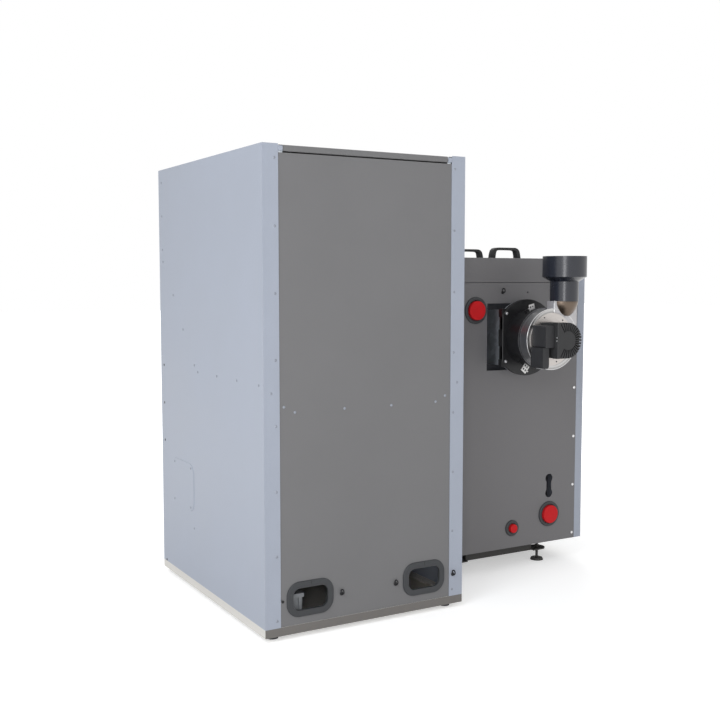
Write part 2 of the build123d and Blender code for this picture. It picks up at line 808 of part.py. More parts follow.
def boiler_rear_panel():
    """Dark rear panel with the fan cut-out, pipe holes and the cable slot."""
    edge = casing_flange + screw_gap
    panel = slab(boiler_left + edge, boiler_right - edge, boiler_back - sheet, boiler_back, casing_bottom, panel_top)
    through = boiler_back - 2 * sheet
    window = wall_plane(flue_x, through, flue_level)
    panel -= extrude(window * Rectangle(cutout, cutout), 3 * sheet)
    for x, z, radius in pipe_places():
        panel -= rod_y(x, through, boiler_back + sheet, z, radius + 6.0)
    panel -= extrude(wall_plane(boiler_left + return_inset, through, slot_level) * slot_outline(), 3 * sheet)
    feeler_x = boiler_left + boiler_anchor_inset - 116.0
    feeler = rod_y(feeler_x, through, boiler_back + sheet, panel_top - boiler_anchor_drop, feeler_hole_radius)
    return panel - feeler


def boiler_front_panel():
    """Front casing sheet with the fire door and ash drawer openings."""
    panel = slab(boiler_left, boiler_right, front, front + sheet, casing_bottom, panel_top)
    panel -= slab(vessel_x - fire_opening_width / 2, vessel_x + fire_opening_width / 2, front - 1.0,
                  front + 2 * sheet, fire_opening_bottom, fire_opening_bottom + fire_opening_height)
    drawer_half = drawer_width / 2 + 4.0
    return panel - slab(vessel_x - drawer_half, vessel_x + drawer_half, front - 1.0, front + 2 * sheet,
                        drawer_level - 4.0, drawer_level + drawer_height + 4.0)


def rear_cover():
    """Lift-off cover over the heat exchanger, open underneath."""
    y0 = boiler_back - cover_depth
    cover = slab(boiler_left, boiler_right, y0, boiler_back, panel_top, boiler_top)
    top_edges = cover.edges().group_by(Axis.Z)[-1]
    cover = fillet(top_edges, 1.5)
    return cover - slab(boiler_left + sheet, boiler_right - sheet, y0 + sheet, boiler_back - sheet, panel_top,
                        boiler_top - sheet)


def cover_handles():
    """Two bridge handles on the cover's centre line."""
    middle = (boiler_left + boiler_right) / 2
    handles = []
    for back in (handle_back_inset, handle_back_inset + handle_spread):
        handles.append(Pos(middle, boiler_back - back, boiler_top) * bridge_handle())
    return group(handles)


def console():
    """Front console with a sloping control face, open underneath."""
    y1 = boiler_back - cover_depth - seam_gap
    outer = [(front, panel_top), (y1, panel_top), (y1, boiler_top), (front + console_slope_depth, boiler_top),
             (front, panel_top + console_front_height)]
    body = side_prism(outer, boiler_left, boiler_right)
    wall = 2 * sheet
    inner = [(front + wall, panel_top), (y1 - wall, panel_top), (y1 - wall, boiler_top - wall),
             (front + console_slope_depth + 1.0, boiler_top - wall), (front + wall, panel_top + console_front_height - wall)]
    body -= side_prism(inner, boiler_left + wall, boiler_right - wall)
    body -= console_middle.location * Box(display_width, display_height, 6 * sheet)
    stem = Pos(knob_x - vessel_x, 0, 0) * Cylinder(knob_stem_radius + running_gap, 40.0)
    body -= console_middle.location * stem
    window = Pos(switch_x - vessel_x, 0, 0) * Box(switch_width + 1.0, switch_height + 1.0, 40.0)
    return body - console_middle.location * window


def display():
    """Glass of the operating display, set into the console face."""
    glass = Pos(0, 0, -display_thickness / 2) * Box(display_width - 2 * fit_gap, display_height - 2 * fit_gap,
                                                    display_thickness)
    return console_middle.location * glass


def setting_knob():
    """Ribbed setting knob with its stem through the console face."""
    knob = Pos(0, 0, fit_gap) * extrude(Circle(knob_radius), knob_height)
    knob = chamfer(knob.faces().sort_by(Axis.Z)[-1].edges(), 2.0)
    for turn in range(0, 360, 30):
        knob -= Rot(0, 0, turn) * Pos(knob_radius + 1.0, 0, fit_gap + knob_height / 2) * Cylinder(2.5, knob_height)
    stem = Pos(0, 0, -14.0) * extrude(Circle(knob_stem_radius), 14.0 + 2 * fit_gap)
    return console_middle.location * Pos(knob_x - vessel_x, 0, 0) * (knob + stem)


def mains_switch():
    """Rocker of the mains switch, a shallow vee that tips about its middle."""
    half = switch_width / 2
    rise = half * sin(radians(switch_tilt))
    points = [(-half, 3.0 + rise), (0, 2.0), (half, 3.0 + rise), (half - 3.0, -5.0), (-half + 3.0, -5.0)]
    profile = Polygon(*points, align=None)
    rocker = extrude(Plane.XZ * profile, switch_height / 2, both=True)
    return console_middle.location * Pos(switch_x - vessel_x, 0, 0) * rocker


# Base frame, feet and vessel

def foot_places():
    """Plan places of the four levelling feet."""
    xs = (boiler_left + foot_outer_inset, boiler_right - foot_inner_inset)
    return [(x, y) for x in xs for y in (front + foot_setback, boiler_back - foot_setback)]


def base_frame():
    """Folded steel frame with a lug over each foot and two rails that carry the casing."""
    places = foot_places()
    top = casing_bottom
    x0 = min(place[0] for place in places) + lug_overhang
    x1 = max(place[0] for place in places) - lug_overhang
    y0 = min(place[1] for place in places) - frame_overhang
    y1 = max(place[1] for place in places) + frame_overhang
    frame = slab(x0, x1, y0, y1, frame_bottom, top)
    frame -= slab(x0 + frame_width, x1 - frame_width, y0 + frame_width, y1 - frame_width, frame_bottom, top)
    frame -= slab(x0 + frame_leg, x1 - frame_leg, y0 + frame_leg, y1 - frame_leg, frame_bottom, top - frame_leg)
    for x, y in places:
        inward = lug_overhang if x < vessel_x else -lug_overhang
        low_x, high_x = sorted((x, x + inward))
        lug = slab(low_x, high_x, y - lug_radius, y + lug_radius, frame_bottom, frame_bottom + frame_leg)
        lug += rod_z(x, y, frame_bottom, frame_bottom + frame_leg, lug_radius)
        lug -= slab(x0, x1, y1, y1 + lug_radius, frame_bottom, top)
        frame += lug - rod_z(x, y, frame_bottom, frame_bottom + frame_leg, stud_radius + fit_gap)
    for y in (y0 + 2 * frame_width, y1 - 2 * frame_width):
        for end, inner in ((boiler_left + sheet, x0 + frame_leg), (boiler_right - sheet, x1 - frame_leg)):
            low_x, high_x = sorted((end, inner))
            rail = slab(low_x, high_x, y, y + rail_width, top - rail_height, top)
            rail -= slab(low_x, high_x, y + frame_leg, y + rail_width, top - rail_height, top - frame_leg)
            tab_low, tab_high = sorted((end, end + (frame_leg if end < vessel_x else -frame_leg)))
            frame += rail + slab(tab_low, tab_high, y, y + rail_width, top - frame_leg, top + rail_tab)
    return frame


def levelling_feet():
    """Four threaded studs with a pad below and a lock nut above the lug."""
    pad = extrude(Circle(foot_pad_radius), foot_pad_height, taper=20)
    stud = Pos(0, 0, foot_pad_height) * extrude(Circle(stud_radius), frame_bottom + frame_leg + 12.0 - foot_pad_height)
    under_nut = Pos(0, 0, frame_bottom - 8.0) * extrude(RegularPolygon(9.0, 6), 8.0)
    over_nut = Pos(0, 0, frame_bottom + frame_leg) * extrude(RegularPolygon(9.0, 6), 8.0)
    foot = pad + stud + under_nut + over_nut
    return group([Pos(x, y, 0) * foot for x, y in foot_places()])


def boiler_vessel():
    """Water jacket around the fire chamber, with the exchanger tubes, header and flue port."""
    half = chamber_width / 2
    chamber_back = vessel_front + chamber_depth
    chamber_front = vessel_front + vessel_wall
    drawer_half = drawer_width / 2 + drawer_gap
    body = slab(vessel_left, vessel_right, vessel_front, vessel_back, casing_bottom, vessel_top)
    body = fillet(body.edges().filter_by(Axis.Z), vessel_corner)
    body -= slab(vessel_x - half, vessel_x + half, chamber_front, chamber_back, chamber_bottom, chamber_top)
    body -= slab(vessel_x - half, vessel_x + half, vessel_front, chamber_front, fire_opening_bottom,
                 fire_opening_bottom + fire_opening_height)
    body -= slab(vessel_x - drawer_half, vessel_x + drawer_half, vessel_front, chamber_front,
                 drawer_level - drawer_gap, drawer_level + drawer_height + drawer_gap)
    body -= slab(vessel_x - half, vessel_x + half, chamber_back, tube_row_y + tube_radius, passage_bottom,
                 passage_top)
    for x in tube_places():
        body -= rod_z(x, tube_row_y, passage_top, header_bottom, tube_radius)
    body -= slab(vessel_left + vessel_wall, vessel_right - vessel_wall, header_front, header_back, header_bottom,
                 vessel_top)
    body -= slab(flue_x - flue_port / 2, flue_x + flue_port / 2, header_back, vessel_back - vessel_wall,
                 flue_level - flue_port / 2, vessel_top - vessel_wall)
    body -= slab(flue_x - flue_port / 2, flue_x + flue_port / 2, vessel_back - vessel_wall, vessel_back,
                 flue_level - flue_port / 2, flue_level + flue_port / 2)
    body -= rod_x(vessel_x, vessel_right, feed_y, stoker_level, stoker_outer + fit_gap)
    body -= rod_x(vessel_left, vessel_left + vessel_wall, lift_shaft_y, lift_shaft_z,
                  auger_shaft_radius + auger_clear)
    return body - rod_x(vessel_right - vessel_wall, vessel_right - vessel_wall / 3, lift_shaft_y, lift_shaft_z,
                        auger_shaft_radius + running_gap)


def cleaning_cover():
    """Bolted lid over the turbulator header."""
    x0 = vessel_left + vessel_wall / 2
    x1 = vessel_right - vessel_wall / 2
    y0 = header_front - vessel_wall / 2
    y1 = header_back + vessel_wall / 2
    top = vessel_top + cleaning_cover_thickness
    plate = slab(x0, x1, y0, y1, vessel_top, top)
    plate = fillet(plate.edges().filter_by(Axis.Z), 8.0)
    plate += slab(vessel_left + vessel_wall + 1.0, vessel_right - vessel_wall - 1.0, header_front + 1.0,
                  header_back - 1.0, vessel_top - cover_tongue, vessel_top)
    for x in (x0 + 20.0, x1 - 20.0):
        for y in (y0 + 9.0, y1 - 9.0):
            plate += Pos(x, y, top) * extrude(RegularPolygon(cover_nut, 6), cover_nut)
    return plate


def tube_places():
    """Places of the exchanger tubes along X."""
    return [vessel_x + (i - (tube_count - 1) / 2) * tube_pitch for i in range(tube_count)]


def turbulators():
    """Twisted strips hung from one rack plate, one in each exchanger tube."""
    rack_half = (tube_count - 1) / 2 * tube_pitch + tube_radius
    rack = slab(vessel_x - rack_half, vessel_x + rack_half, tube_row_y - rack_half_depth,
                tube_row_y + rack_half_depth, rack_level - rack_thickness / 2, rack_level + rack_thickness / 2)
    for x in tube_places():
        sections = []
        for k in range(turbulator_steps + 1):
            height = rack_level - turbulator_length * (1 - k / turbulator_steps)
            section = Rot(0, 0, step_turn * k) * Rectangle(turbulator_width, turbulator_thickness)
            sections.append(Pos(x, tube_row_y, height) * section)
        rack += loft(sections, ruled=True)
    return rack


def cleaning_shaft():
    """Shaft across the header with two lifting arms under the rack, drawn lowered."""
    x0 = vessel_left - gear_bore_depth + 2.0
    x1 = vessel_right - vessel_wall / 3 - 1.0
    shaft = rod_x(x0, x1, lift_shaft_y, lift_shaft_z, auger_shaft_radius)
    for side in (-1, 1):
        plane = side_plane(vessel_x + side * tube_pitch - arm_width / 2, lift_shaft_y, lift_shaft_z)
        outline = Circle(auger_shaft_radius + 4.0) + Pos(lift_arm / 2, 0) * Rectangle(lift_arm, 8.0)
        outline += Pos(lift_arm, 0) * Circle(arm_tip)
        shaft += extrude(plane * (Rot(0, 0, -lift_swing / 2) * outline), arm_width)
    return shaft


# Water connections

def pipe_places():
    """Plan of the flow, return and drain pipes: X, Z and outer radius."""
    return [(boiler_left + flow_inset, flow_level, pipe_radius),
            (boiler_left + return_inset, return_level, pipe_radius),
            (boiler_left + drain_inset, drain_level, drain_radius)]


def pipe_stubs():
    """Flow, return and drain pipes from the vessel through the rear panel."""
    stubs = []
    for (x, z, radius), bore in zip(pipe_places(), (pipe_bore, pipe_bore, drain_bore)):
        pipe = rod_y(x, vessel_back, boiler_back + pipe_reach, z, radius)
        stubs.append(pipe - rod_y(x, vessel_back, boiler_back + pipe_reach, z, bore))
    return group(stubs)


def grommet(inner):
    """Domed rubber ring standing on the panel, its bore round the cap."""
    outer = inner + grommet_width
    profile = Pos((inner + outer) / 2, grommet_height / 2) * Rectangle(outer - inner, grommet_height)
    profile = fillet(profile.vertices().sort_by(Axis.Y)[-2:], grommet_height - 1.5)
    return revolve(Plane.XZ * profile, Axis.Z)


def pipe_grommets():
    """One grommet on the rear panel round each pipe."""
    rings = []
    for x, z, radius in pipe_places():
        ring = grommet(radius + cap_wall + 0.8)
        rings.append(wall_plane(x, boiler_back, z).location * ring)
    return group(rings)


def pipe_cap(index):
    """Pull-off plastic cap over one pipe end."""
    x, z, radius = pipe_places()[index]
    outer = radius + cap_wall
    depth = pipe_reach + 6.0
    cap = extrude(Circle(outer), depth)
    cap = fillet(cap.faces().sort_by(Axis.Z)[-1].edges(), 1.5)
    cap -= extrude(Circle(radius + fit_gap), pipe_reach + fit_gap)
    return wall_plane(x, boiler_back + 0.5, z).location * cap


# Fire door, ash drawer and burner

def fire_door():
    """Cover plate of the fire door with its two hinge barrels."""
    plane = wall_plane(vessel_x, front - fire_door_thickness - seal_gap, fire_middle_z)
    door = rounded_bar(plane, fire_door_width, fire_door_height, 12.0, fire_door_thickness)
    door = chamfer(door.faces().sort_by(Axis.Y)[0].edges(), 3.0)
    for side in (-1, 1):
        middle = fire_middle_z + side * fire_door_height / 3
        low = middle - barrel_length / 2
        barrel = rod_z(fire_hinge_x, fire_hinge_y, low, low + barrel_length, barrel_radius)
        strap = slab(fire_hinge_x, vessel_x - fire_door_width / 2 + 5.0, fire_hinge_y - 6.0, fire_hinge_y + 6.0,
                     low, low + barrel_length)
        door += barrel + strap
        door -= rod_z(fire_hinge_x, fire_hinge_y, low, low + barrel_length, hinge_pin_radius + running_gap)
    return door - rod_y(fire_handle_x, front - fire_door_thickness - 2.0, front, fire_middle_z,
                        fire_handle_radius + running_gap)


def fire_door_insulation():
    """Insulating plug on the back of the fire door, its edges tapered to swing clear."""
    width = fire_opening_width - 2 * fire_plug_gap
    height = fire_opening_height - 2 * fire_plug_gap
    plane = wall_plane(vessel_x, front - seal_gap, fire_middle_z)
    return extrude(plane * RectangleRounded(width, height, 10.0), fire_plug_thickness, taper=6)


def fire_door_handle():
    """Turning handle: spindle through the door with a grip that hangs down."""
    y_face = front - fire_door_thickness - seal_gap
    y_middle = y_face - fire_handle_reach / 2 - 1.0
    spindle = rod_y(fire_handle_x, y_face - fire_handle_reach, front - 1.5, fire_middle_z, fire_handle_radius)
    boss = rod_y(fire_handle_x, y_face - fire_handle_reach, y_face - 1.0, fire_middle_z, fire_boss_radius)
    grip = rod_z(fire_handle_x, y_middle, fire_middle_z - fire_handle_length, fire_middle_z, fire_grip_radius)
    grip = fillet(grip.faces().sort_by(Axis.Z)[0].edges(), fire_grip_radius - 1.0)
    return spindle + boss + grip


def ash_drawer():
    """Open ash box with an overlapping face and a pull."""
    half = drawer_width / 2
    low = drawer_level
    box = slab(vessel_x - half, vessel_x + half, front - fit_gap, front + drawer_depth, low, low + drawer_height)
    box -= slab(vessel_x - half + drawer_wall, vessel_x + half - drawer_wall, front + drawer_wall,
                front + drawer_depth - drawer_wall, low + drawer_wall, low + drawer_height)
    middle = low + drawer_height / 2
    y_face = front - fit_gap - drawer_face_thickness
    face = rounded_bar(wall_plane(vessel_x, y_face, middle), drawer_face_width, drawer_face_height, 10.0,
                       drawer_face_thickness)
    face = chamfer(face.faces().sort_by(Axis.Y)[0].edges(), 2.0)
    pull_plane = Plane(origin=(vessel_x, y_face, middle), x_dir=(1, 0, 0), z_dir=(0, -1, 0))
    return box + face + pull_plane.location * bridge_handle()


def burner_pot():
    """Cast retort at the stoker tube's mouth, open at the top, with air holes in its rim."""
    low = stoker_level - stoker_outer - pot_wall
    pot = rod_z(vessel_x, feed_y, low, pot_top, pot_radius)
    pot -= rod_z(vessel_x, feed_y, stoker_level - stoker_inner, pot_top, pot_radius - 3 * pot_wall)
    pot -= rod_z(vessel_x, feed_y, pot_top - pot_rim, pot_top, pot_radius - pot_wall)
    pot -= rod_x(vessel_x, vessel_x + pot_radius, feed_y, stoker_level, stoker_inner)
    pot -= slab(vessel_x + pot_flat, vessel_x + pot_radius, feed_y - pot_radius, feed_y + pot_radius,
                low, pot_top - pot_rim)
    for turn in range(0, 360, 30):
        hole = Rot(0, 0, turn + 15.0) * Pos(pot_radius - pot_wall / 2, 0, 0) * (Rot(0, 90, 0) * Cylinder(4.0, 40.0))
        pot -= Pos(vessel_x, feed_y, pot_top - pot_rim / 2) * hole
    return pot


# Flue fan, drawn in its own frame: X to the right and Y up seen from behind, Z outwards

def flange_outline():
    """Round flange cut flat at both sides."""
    return Circle(flange_radius) & Rectangle(2 * flange_half_width, 2 * flange_radius)


def flange_bolt_places():
    """Four bolt places of the flue flange."""
    return [(sx * bolt_across / 2, sy * bolt_up / 2) for sx in (-1, 1) for sy in (-1, 1)]


def flue_duct():
    """Square duct from the vessel through the cut-out, with its end flange."""
    length = vessel_back_gap + duct_reach
    duct = Pos(0, 0, -vessel_back_gap) * extrude(
        Rectangle(duct_side, duct_side) - Rectangle(duct_side - 2 * duct_wall, duct_side - 2 * duct_wall), length)
    flange = Pos(0, 0, duct_reach) * extrude(flange_outline(), flange_thickness)
    duct += flange - Pos(0, 0, duct_reach) * extrude(Circle(inlet_radius + 20.0), flange_thickness)
    for x, y in flange_bolt_places():
        duct -= Pos(x, y, duct_reach) * extrude(Circle(bolt_radius + fit_gap), flange_thickness)
    return fan_plane.location * duct


def fan_housing():
    """Cast housing: bolted flange, drum and the rim that the clips clamp."""
    outer = Pos(0, 0, flange_face) * extrude(flange_outline(), housing_flange)
    outer += Pos(0, 0, drum_face) * extrude(Circle(drum_radius), drum_depth)
    outer += Pos(0, 0, scroll_face - drum_rim_depth) * extrude(Circle(drum_rim), drum_rim_depth)
    cavity = Pos(0, 0, flange_face) * extrude(Circle(inlet_radius + 20.0), housing_flange + drum_depth - drum_wall)
    throat = Pos(0, 0, scroll_face - drum_wall) * extrude(Circle(inlet_radius), drum_wall)
    body = outer - cavity - throat
    for x, y in flange_bolt_places():
        body -= Pos(x, y, flange_face) * extrude(Circle(bolt_radius + fit_gap), housing_flange)
    for angle in clip_angles:
        body += clip_place(angle) * clip_lugs()
    return fan_plane.location * body


def flange_bolts():
    """Four studs with dome nuts that hold the housing to the duct."""
    stud = Pos(0, 0, duct_reach - 6.0) * extrude(Circle(bolt_radius), flange_thickness + housing_flange + 8.0)
    back_nut = Pos(0, 0, duct_reach - 6.0) * extrude(RegularPolygon(8.0, 6), 6.0)
    nut = Pos(0, 0, drum_face) * extrude(RegularPolygon(8.0, 6), 7.0)
    dome = Pos(0, 0, drum_face + 7.0) * (Sphere(6.5) & Pos(0, 0, 5.0) * Box(20.0, 20.0, 10.0))
    bolt = stud + back_nut + nut + dome
    return group([fan_plane.location * Pos(x, y, 0) * bolt for x, y in flange_bolt_places()])


def clip_place(angle):
    """Frame of one clip: X outwards, Y round the rim, Z away from the panel."""
    foot = scroll_face + scroll_flange - clip_length + clip_thickness
    return Pos(0, 0, foot) * Rot(0, 0, angle) * Pos(clip_pivot, 0, 0)


def clip_lugs():
    """Two ears and a pin that carry a clip lever."""
    pieces = Rot(90, 0, 0) * Cylinder(clip_pin_radius, clip_width + 9.0)
    reach = clip_pivot - drum_radius + 1.0
    for side in (-1, 1):
        pieces += Pos(1.0 - reach / 2, side * (clip_width / 2 + 2.5), 0) * Box(reach + 2.0, 3.0, 8.0)
    return pieces


def clip_lever():
    """Lever with four windows, a barrel at its foot and a nose that hooks over the scroll's flange."""
    plate = Pos(0, 0, clip_length / 2) * Box(clip_thickness, clip_width, clip_length)
    for side in (-1, 1):
        for level in (10.0, 20.0):
            plate -= Pos(0, side * 5.5, level) * Box(3 * clip_thickness, 7.0, 6.5)
    barrel = Rot(90, 0, 0) * Cylinder(clip_pin_radius + 2.0, clip_width)
    bore = Rot(90, 0, 0) * Cylinder(clip_pin_radius + running_gap, clip_width)
    nose = Pos(-clip_nose / 2, 0, clip_length - 1.1) * Box(clip_nose, clip_width / 2, 2.2)
    return plate + barrel + nose - bore


def fan_clip(index):
    """One clip lever at its place on the rim."""
    return fan_plane.location * clip_place(clip_angles[index]) * clip_lever()


def scroll_plan(grow):
    """Volute outline: three quarter arcs stepping up, closed by the round back and the neck."""
    s = scroll_step / 2
    shape = Circle(scroll_start - s + grow)
    quadrants = [((-s, -s), (-1, 1)), ((s, -s), (-1, -1)), ((s, s), (1, -1))]
    for k, ((x, y), (side_x, side_y)) in enumerate(quadrants):
        radius = scroll_start + k * scroll_step + grow
        corner = Pos(x + side_x * radius, y + side_y * radius) * Rectangle(2 * radius, 2 * radius)
        shape += (Pos(x, y) * Circle(radius)) & corner
    width = 2 * neck_half_width + 2 * grow
    height = adaptor_start + grow
    return shape + Pos(flue_offset, height / 2) * Rectangle(width, height)


def outlet_cone(grow):
    """Bulge that turns the flat neck into the round flue stub."""
    upright = Plane(origin=(flue_offset, neck_start, scroll_middle), x_dir=(1, 0, 0), z_dir=(0, 1, 0))
    mouth = Plane(origin=(flue_offset, adaptor_start, scroll_middle), x_dir=(1, 0, 0), z_dir=(0, 1, 0))
    cone = loft([upright * Circle(neck_foot + grow), mouth * Circle(neck_radius + grow)])
    return cone + extrude(mouth * Circle(neck_radius + grow), neck_stub)


def fan_scroll():
    """Stainless volute: clamping flange, inlet at the back, service hole in front, round outlet."""
    depth = plate_face - scroll_back
    outer = Pos(0, 0, scroll_face) * extrude(Circle(drum_rim), scroll_flange)
    outer += Pos(0, 0, scroll_face) * extrude(Circle(groove_radius), scroll_flange + scroll_groove)
    outer += Pos(0, 0, scroll_back) * extrude(scroll_plan(0.0), depth)
    outer += outlet_cone(0.0)
    inner = Pos(0, 0, scroll_back + scroll_wall) * extrude(scroll_plan(-scroll_wall), depth - 2 * scroll_wall)
    body = outer - inner - outlet_cone(-scroll_wall)
    body -= Pos(0, 0, scroll_face) * extrude(Circle(inlet_radius), depth / 2)
    body -= Pos(0, 0, plate_face - 2 * scroll_wall) * extrude(Circle(service_radius), 2 * scroll_wall)
    return fan_plane.location * body


def fan_face_plate():
    """Round plate over the service hole that carries the motor."""
    plate = Pos(0, 0, plate_face) * extrude(Circle(face_radius), face_thickness)
    ring = Circle(face_groove) - Circle(face_groove - 1.5)
    plate -= Pos(0, 0, plate_face + face_thickness - 1.0) * extrude(ring, 1.0)
    return fan_plane.location * (plate - Pos(0, 0, plate_face) * extrude(Circle(fan_shaft_radius + 2.0), face_thickness))


def fan_impeller():
    """Back disc, curved blades and the motor shaft."""
    low = scroll_face + 8.0
    disc = Pos(0, 0, low + impeller_depth) * extrude(Circle(impeller_radius), 3.0)
    hub = Pos(0, 0, low + 4.0) * extrude(Circle(14.0), impeller_depth)
    shaft = Pos(0, 0, low + impeller_depth) * extrude(Circle(fan_shaft_radius), cap_face - low - impeller_depth - 20.0)
    wheel = disc + hub + shaft
    curve_radius = 60.0
    for i in range(blade_count):
        ring = Circle(curve_radius) - Circle(curve_radius - blade_thickness)
        arc = Pos(44.0, -curve_radius + 6.0) * ring
        band = arc & (Circle(impeller_radius - 1.0) - Circle(26.0)) & Pos(60.0, 0) * Rectangle(100.0, 100.0)
        blade = max(band.faces(), key=lambda face: face.area)
        wheel += Rot(0, 0, i * 360.0 / blade_count) * Pos(0, 0, low) * extrude(blade, impeller_depth + 1.0)
    return fan_plane.location * wheel


def motor_outline(half, reach):
    """Motor outline: round on the right, square towards the terminal box."""
    round_side = Circle(half) & Pos(half / 2, 0) * Rectangle(half, 2 * half)
    return round_side + Pos(-reach / 2, 0) * Rectangle(reach, 2 * half)


def fan_motor():
    """Motor body on the face plate, bored for the shaft."""
    body = Pos(0, 0, motor_face) * extrude(motor_outline(motor_half, motor_reach), motor_depth)
    groove = Circle(motor_half + 5.0) - Circle(motor_half - 3.0)
    body -= Pos(0, 0, motor_face + motor_depth - 14.0) * extrude(groove & Pos(40.0, 0) * Rectangle(80.0, 160.0), 6.0)
    bore = extrude(Circle(fan_shaft_radius + running_gap), motor_depth - 19.0)
    return fan_plane.location * (body - Pos(0, 0, motor_face) * bore)


def motor_cap():
    """End cap with radial cooling slots round its rim."""
    body = Pos(0, 0, cap_face) * extrude(motor_outline(cap_radius, motor_reach - 2.0), cap_depth)
    body = fillet(body.faces().sort_by(Axis.Z)[-1].edges(), 4.0)
    length = cap_radius - cap_slot_inner + 4.0
    for k in range(cap_slots):
        angle = -120.0 + k * 240.0 / (cap_slots - 1)
        slot = Pos(cap_slot_inner + length / 2, 0, cap_face + cap_depth) * Box(length, cap_slot_width, cap_depth)
        body -= Rot(0, 0, angle) * slot
    return fan_plane.location * body


def terminal_box():
    """Terminal box at the motor's left, with the cable plug below it as a second piece."""
    middle = -motor_reach - terminal_width / 2
    box = Pos(middle, 13.5, motor_face + terminal_depth / 2) * Box(terminal_width, terminal_height, terminal_depth)
    box = fillet(box.edges().filter_by(Axis.Z), 5.0)
    plug_y = 13.5 - terminal_height / 2 - plug_height / 2
    plug_x = -motor_reach - terminal_width + plug_width / 2 - 6.0
    plug = Pos(plug_x, plug_y, motor_face + plug_depth / 2) * Box(plug_width, plug_height, plug_depth)
    plug = fillet(plug.edges().filter_by(Axis.Z).group_by(Axis.Y)[0], 9.0)
    return group([fan_plane.location * box, fan_plane.location * plug])


def flue_adaptor():
    """Turned reducer: sleeve on the fan outlet, cone and flue socket."""
    sleeve = neck_radius + fit_gap
    points = [(sleeve, adaptor_start), (sleeve + socket_wall, adaptor_start), (sleeve + socket_wall, cone_start),
              (socket_bore + socket_wall, socket_start), (socket_bore + socket_wall, socket_end),
              (socket_bore, socket_end), (socket_bore, socket_start + socket_wall / 2),
              (sleeve, cone_start + socket_wall / 2)]
    turned = revolve(Plane.XZ * Polygon(*points, align=None), Axis.Z)
    upright = Plane(origin=(flue_offset, 0, scroll_middle), x_dir=(1, 0, 0), z_dir=(0, 1, 0))
    return fan_plane.location * upright.location * turned


cabinet_mirror = Plane.YZ.offset(cabinet_middle)
outer_side = cabinet_side_blank()

nodes = {
    "cabinet_plinth": cabinet_plinth(),
    "cabinet_feet": cabinet_feet(),
    "cabinet_outer_side": outer_side,
    "cabinet_inner_side": mirror(outer_side, about=cabinet_mirror),
    "cabinet_rear_panel": cabinet_rear_panel(),
    "cabinet_front_panel": cabinet_front_panel(),
    "port_trims": port_trims(),
    "cable_anchors": cable_anchors(),
    "blanking_plate": blanking_plate(),
    "cabinet_door": cabinet_door(),
    "cabinet_door_handle": cabinet_door_handle(),
    "hinge_pins": hinge_pins(),
    "hopper_collar": hopper_collar(),
    "hopper_lid": hopper_lid(),
    "hopper_front_wall": hopper_front_wall(),
    "hopper_funnel": hopper_funnel(),
    "dosing_tube": dosing_tube(),
    "dosing_auger": dosing_auger(),
    "stoker_tube": stoker_tube(),
    "stoker_auger": stoker_auger(),
    "gearmotors": gearmotors(),
    "junction_box": junction_box(),
    "base_frame": base_frame(),
    "levelling_feet": levelling_feet(),
    "boiler_outer_side": boiler_side_blank(),
    "boiler_inner_side": boiler_inner_side(),
    "boiler_rear_panel": boiler_rear_panel(),
    "boiler_front_panel": boiler_front_panel(),
    "rear_cover": rear_cover(),
    "cover_handles": cover_handles(),
    "console": console(),
    "display": display(),
    "setting_knob": setting_knob(),
    "mains_switch": mains_switch(),
    "boiler_vessel": boiler_vessel(),
    "cleaning_cover": cleaning_cover(),
    "turbulators": turbulators(),
    "cleaning_shaft": cleaning_shaft(),
    "pipe_stubs": pipe_stubs(),
    "pipe_grommets": pipe_grommets(),
    "flow_cap": pipe_cap(0),
    "return_cap": pipe_cap(1),
    "drain_cap": pipe_cap(2),
    "fire_door": fire_door(),
    "fire_door_insulation": fire_door_insulation(),
    "fire_door_handle": fire_door_handle(),
    "ash_drawer": ash_drawer(),
    "burner_pot": burner_pot(),
    "flue_duct": flue_duct(),
    "fan_housing": fan_housing(),
    "flange_bolts": flange_bolts(),
    "fan_clip_upper": fan_clip(0),
    "fan_clip_lower": fan_clip(1),
    "fan_scroll": fan_scroll(),
    "fan_face_plate": fan_face_plate(),
    "fan_impeller": fan_impeller(),
    "fan_motor": fan_motor(),
    "motor_cap": motor_cap(),
    "terminal_box": terminal_box(),
    "flue_adaptor": flue_adaptor(),
}

os.makedirs("parts", exist_ok=True)
for name, shape in nodes.items():
    export_step(shape, f"parts/{name}.step")
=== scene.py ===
import json
import math
import bmesh
import bpy
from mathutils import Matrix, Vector


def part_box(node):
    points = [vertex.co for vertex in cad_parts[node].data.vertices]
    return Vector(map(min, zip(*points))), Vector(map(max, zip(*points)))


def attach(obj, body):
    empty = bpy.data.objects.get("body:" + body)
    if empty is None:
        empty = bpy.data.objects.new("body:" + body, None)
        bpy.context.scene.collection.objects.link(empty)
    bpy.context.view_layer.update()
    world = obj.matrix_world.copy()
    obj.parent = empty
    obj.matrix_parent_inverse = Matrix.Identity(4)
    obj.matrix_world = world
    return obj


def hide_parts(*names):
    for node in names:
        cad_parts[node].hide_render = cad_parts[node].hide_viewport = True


# Looks of the pellet boiler: finishes, the outer forms of the fan and the rear cover, and the fittings.
# Metres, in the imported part's own frame.

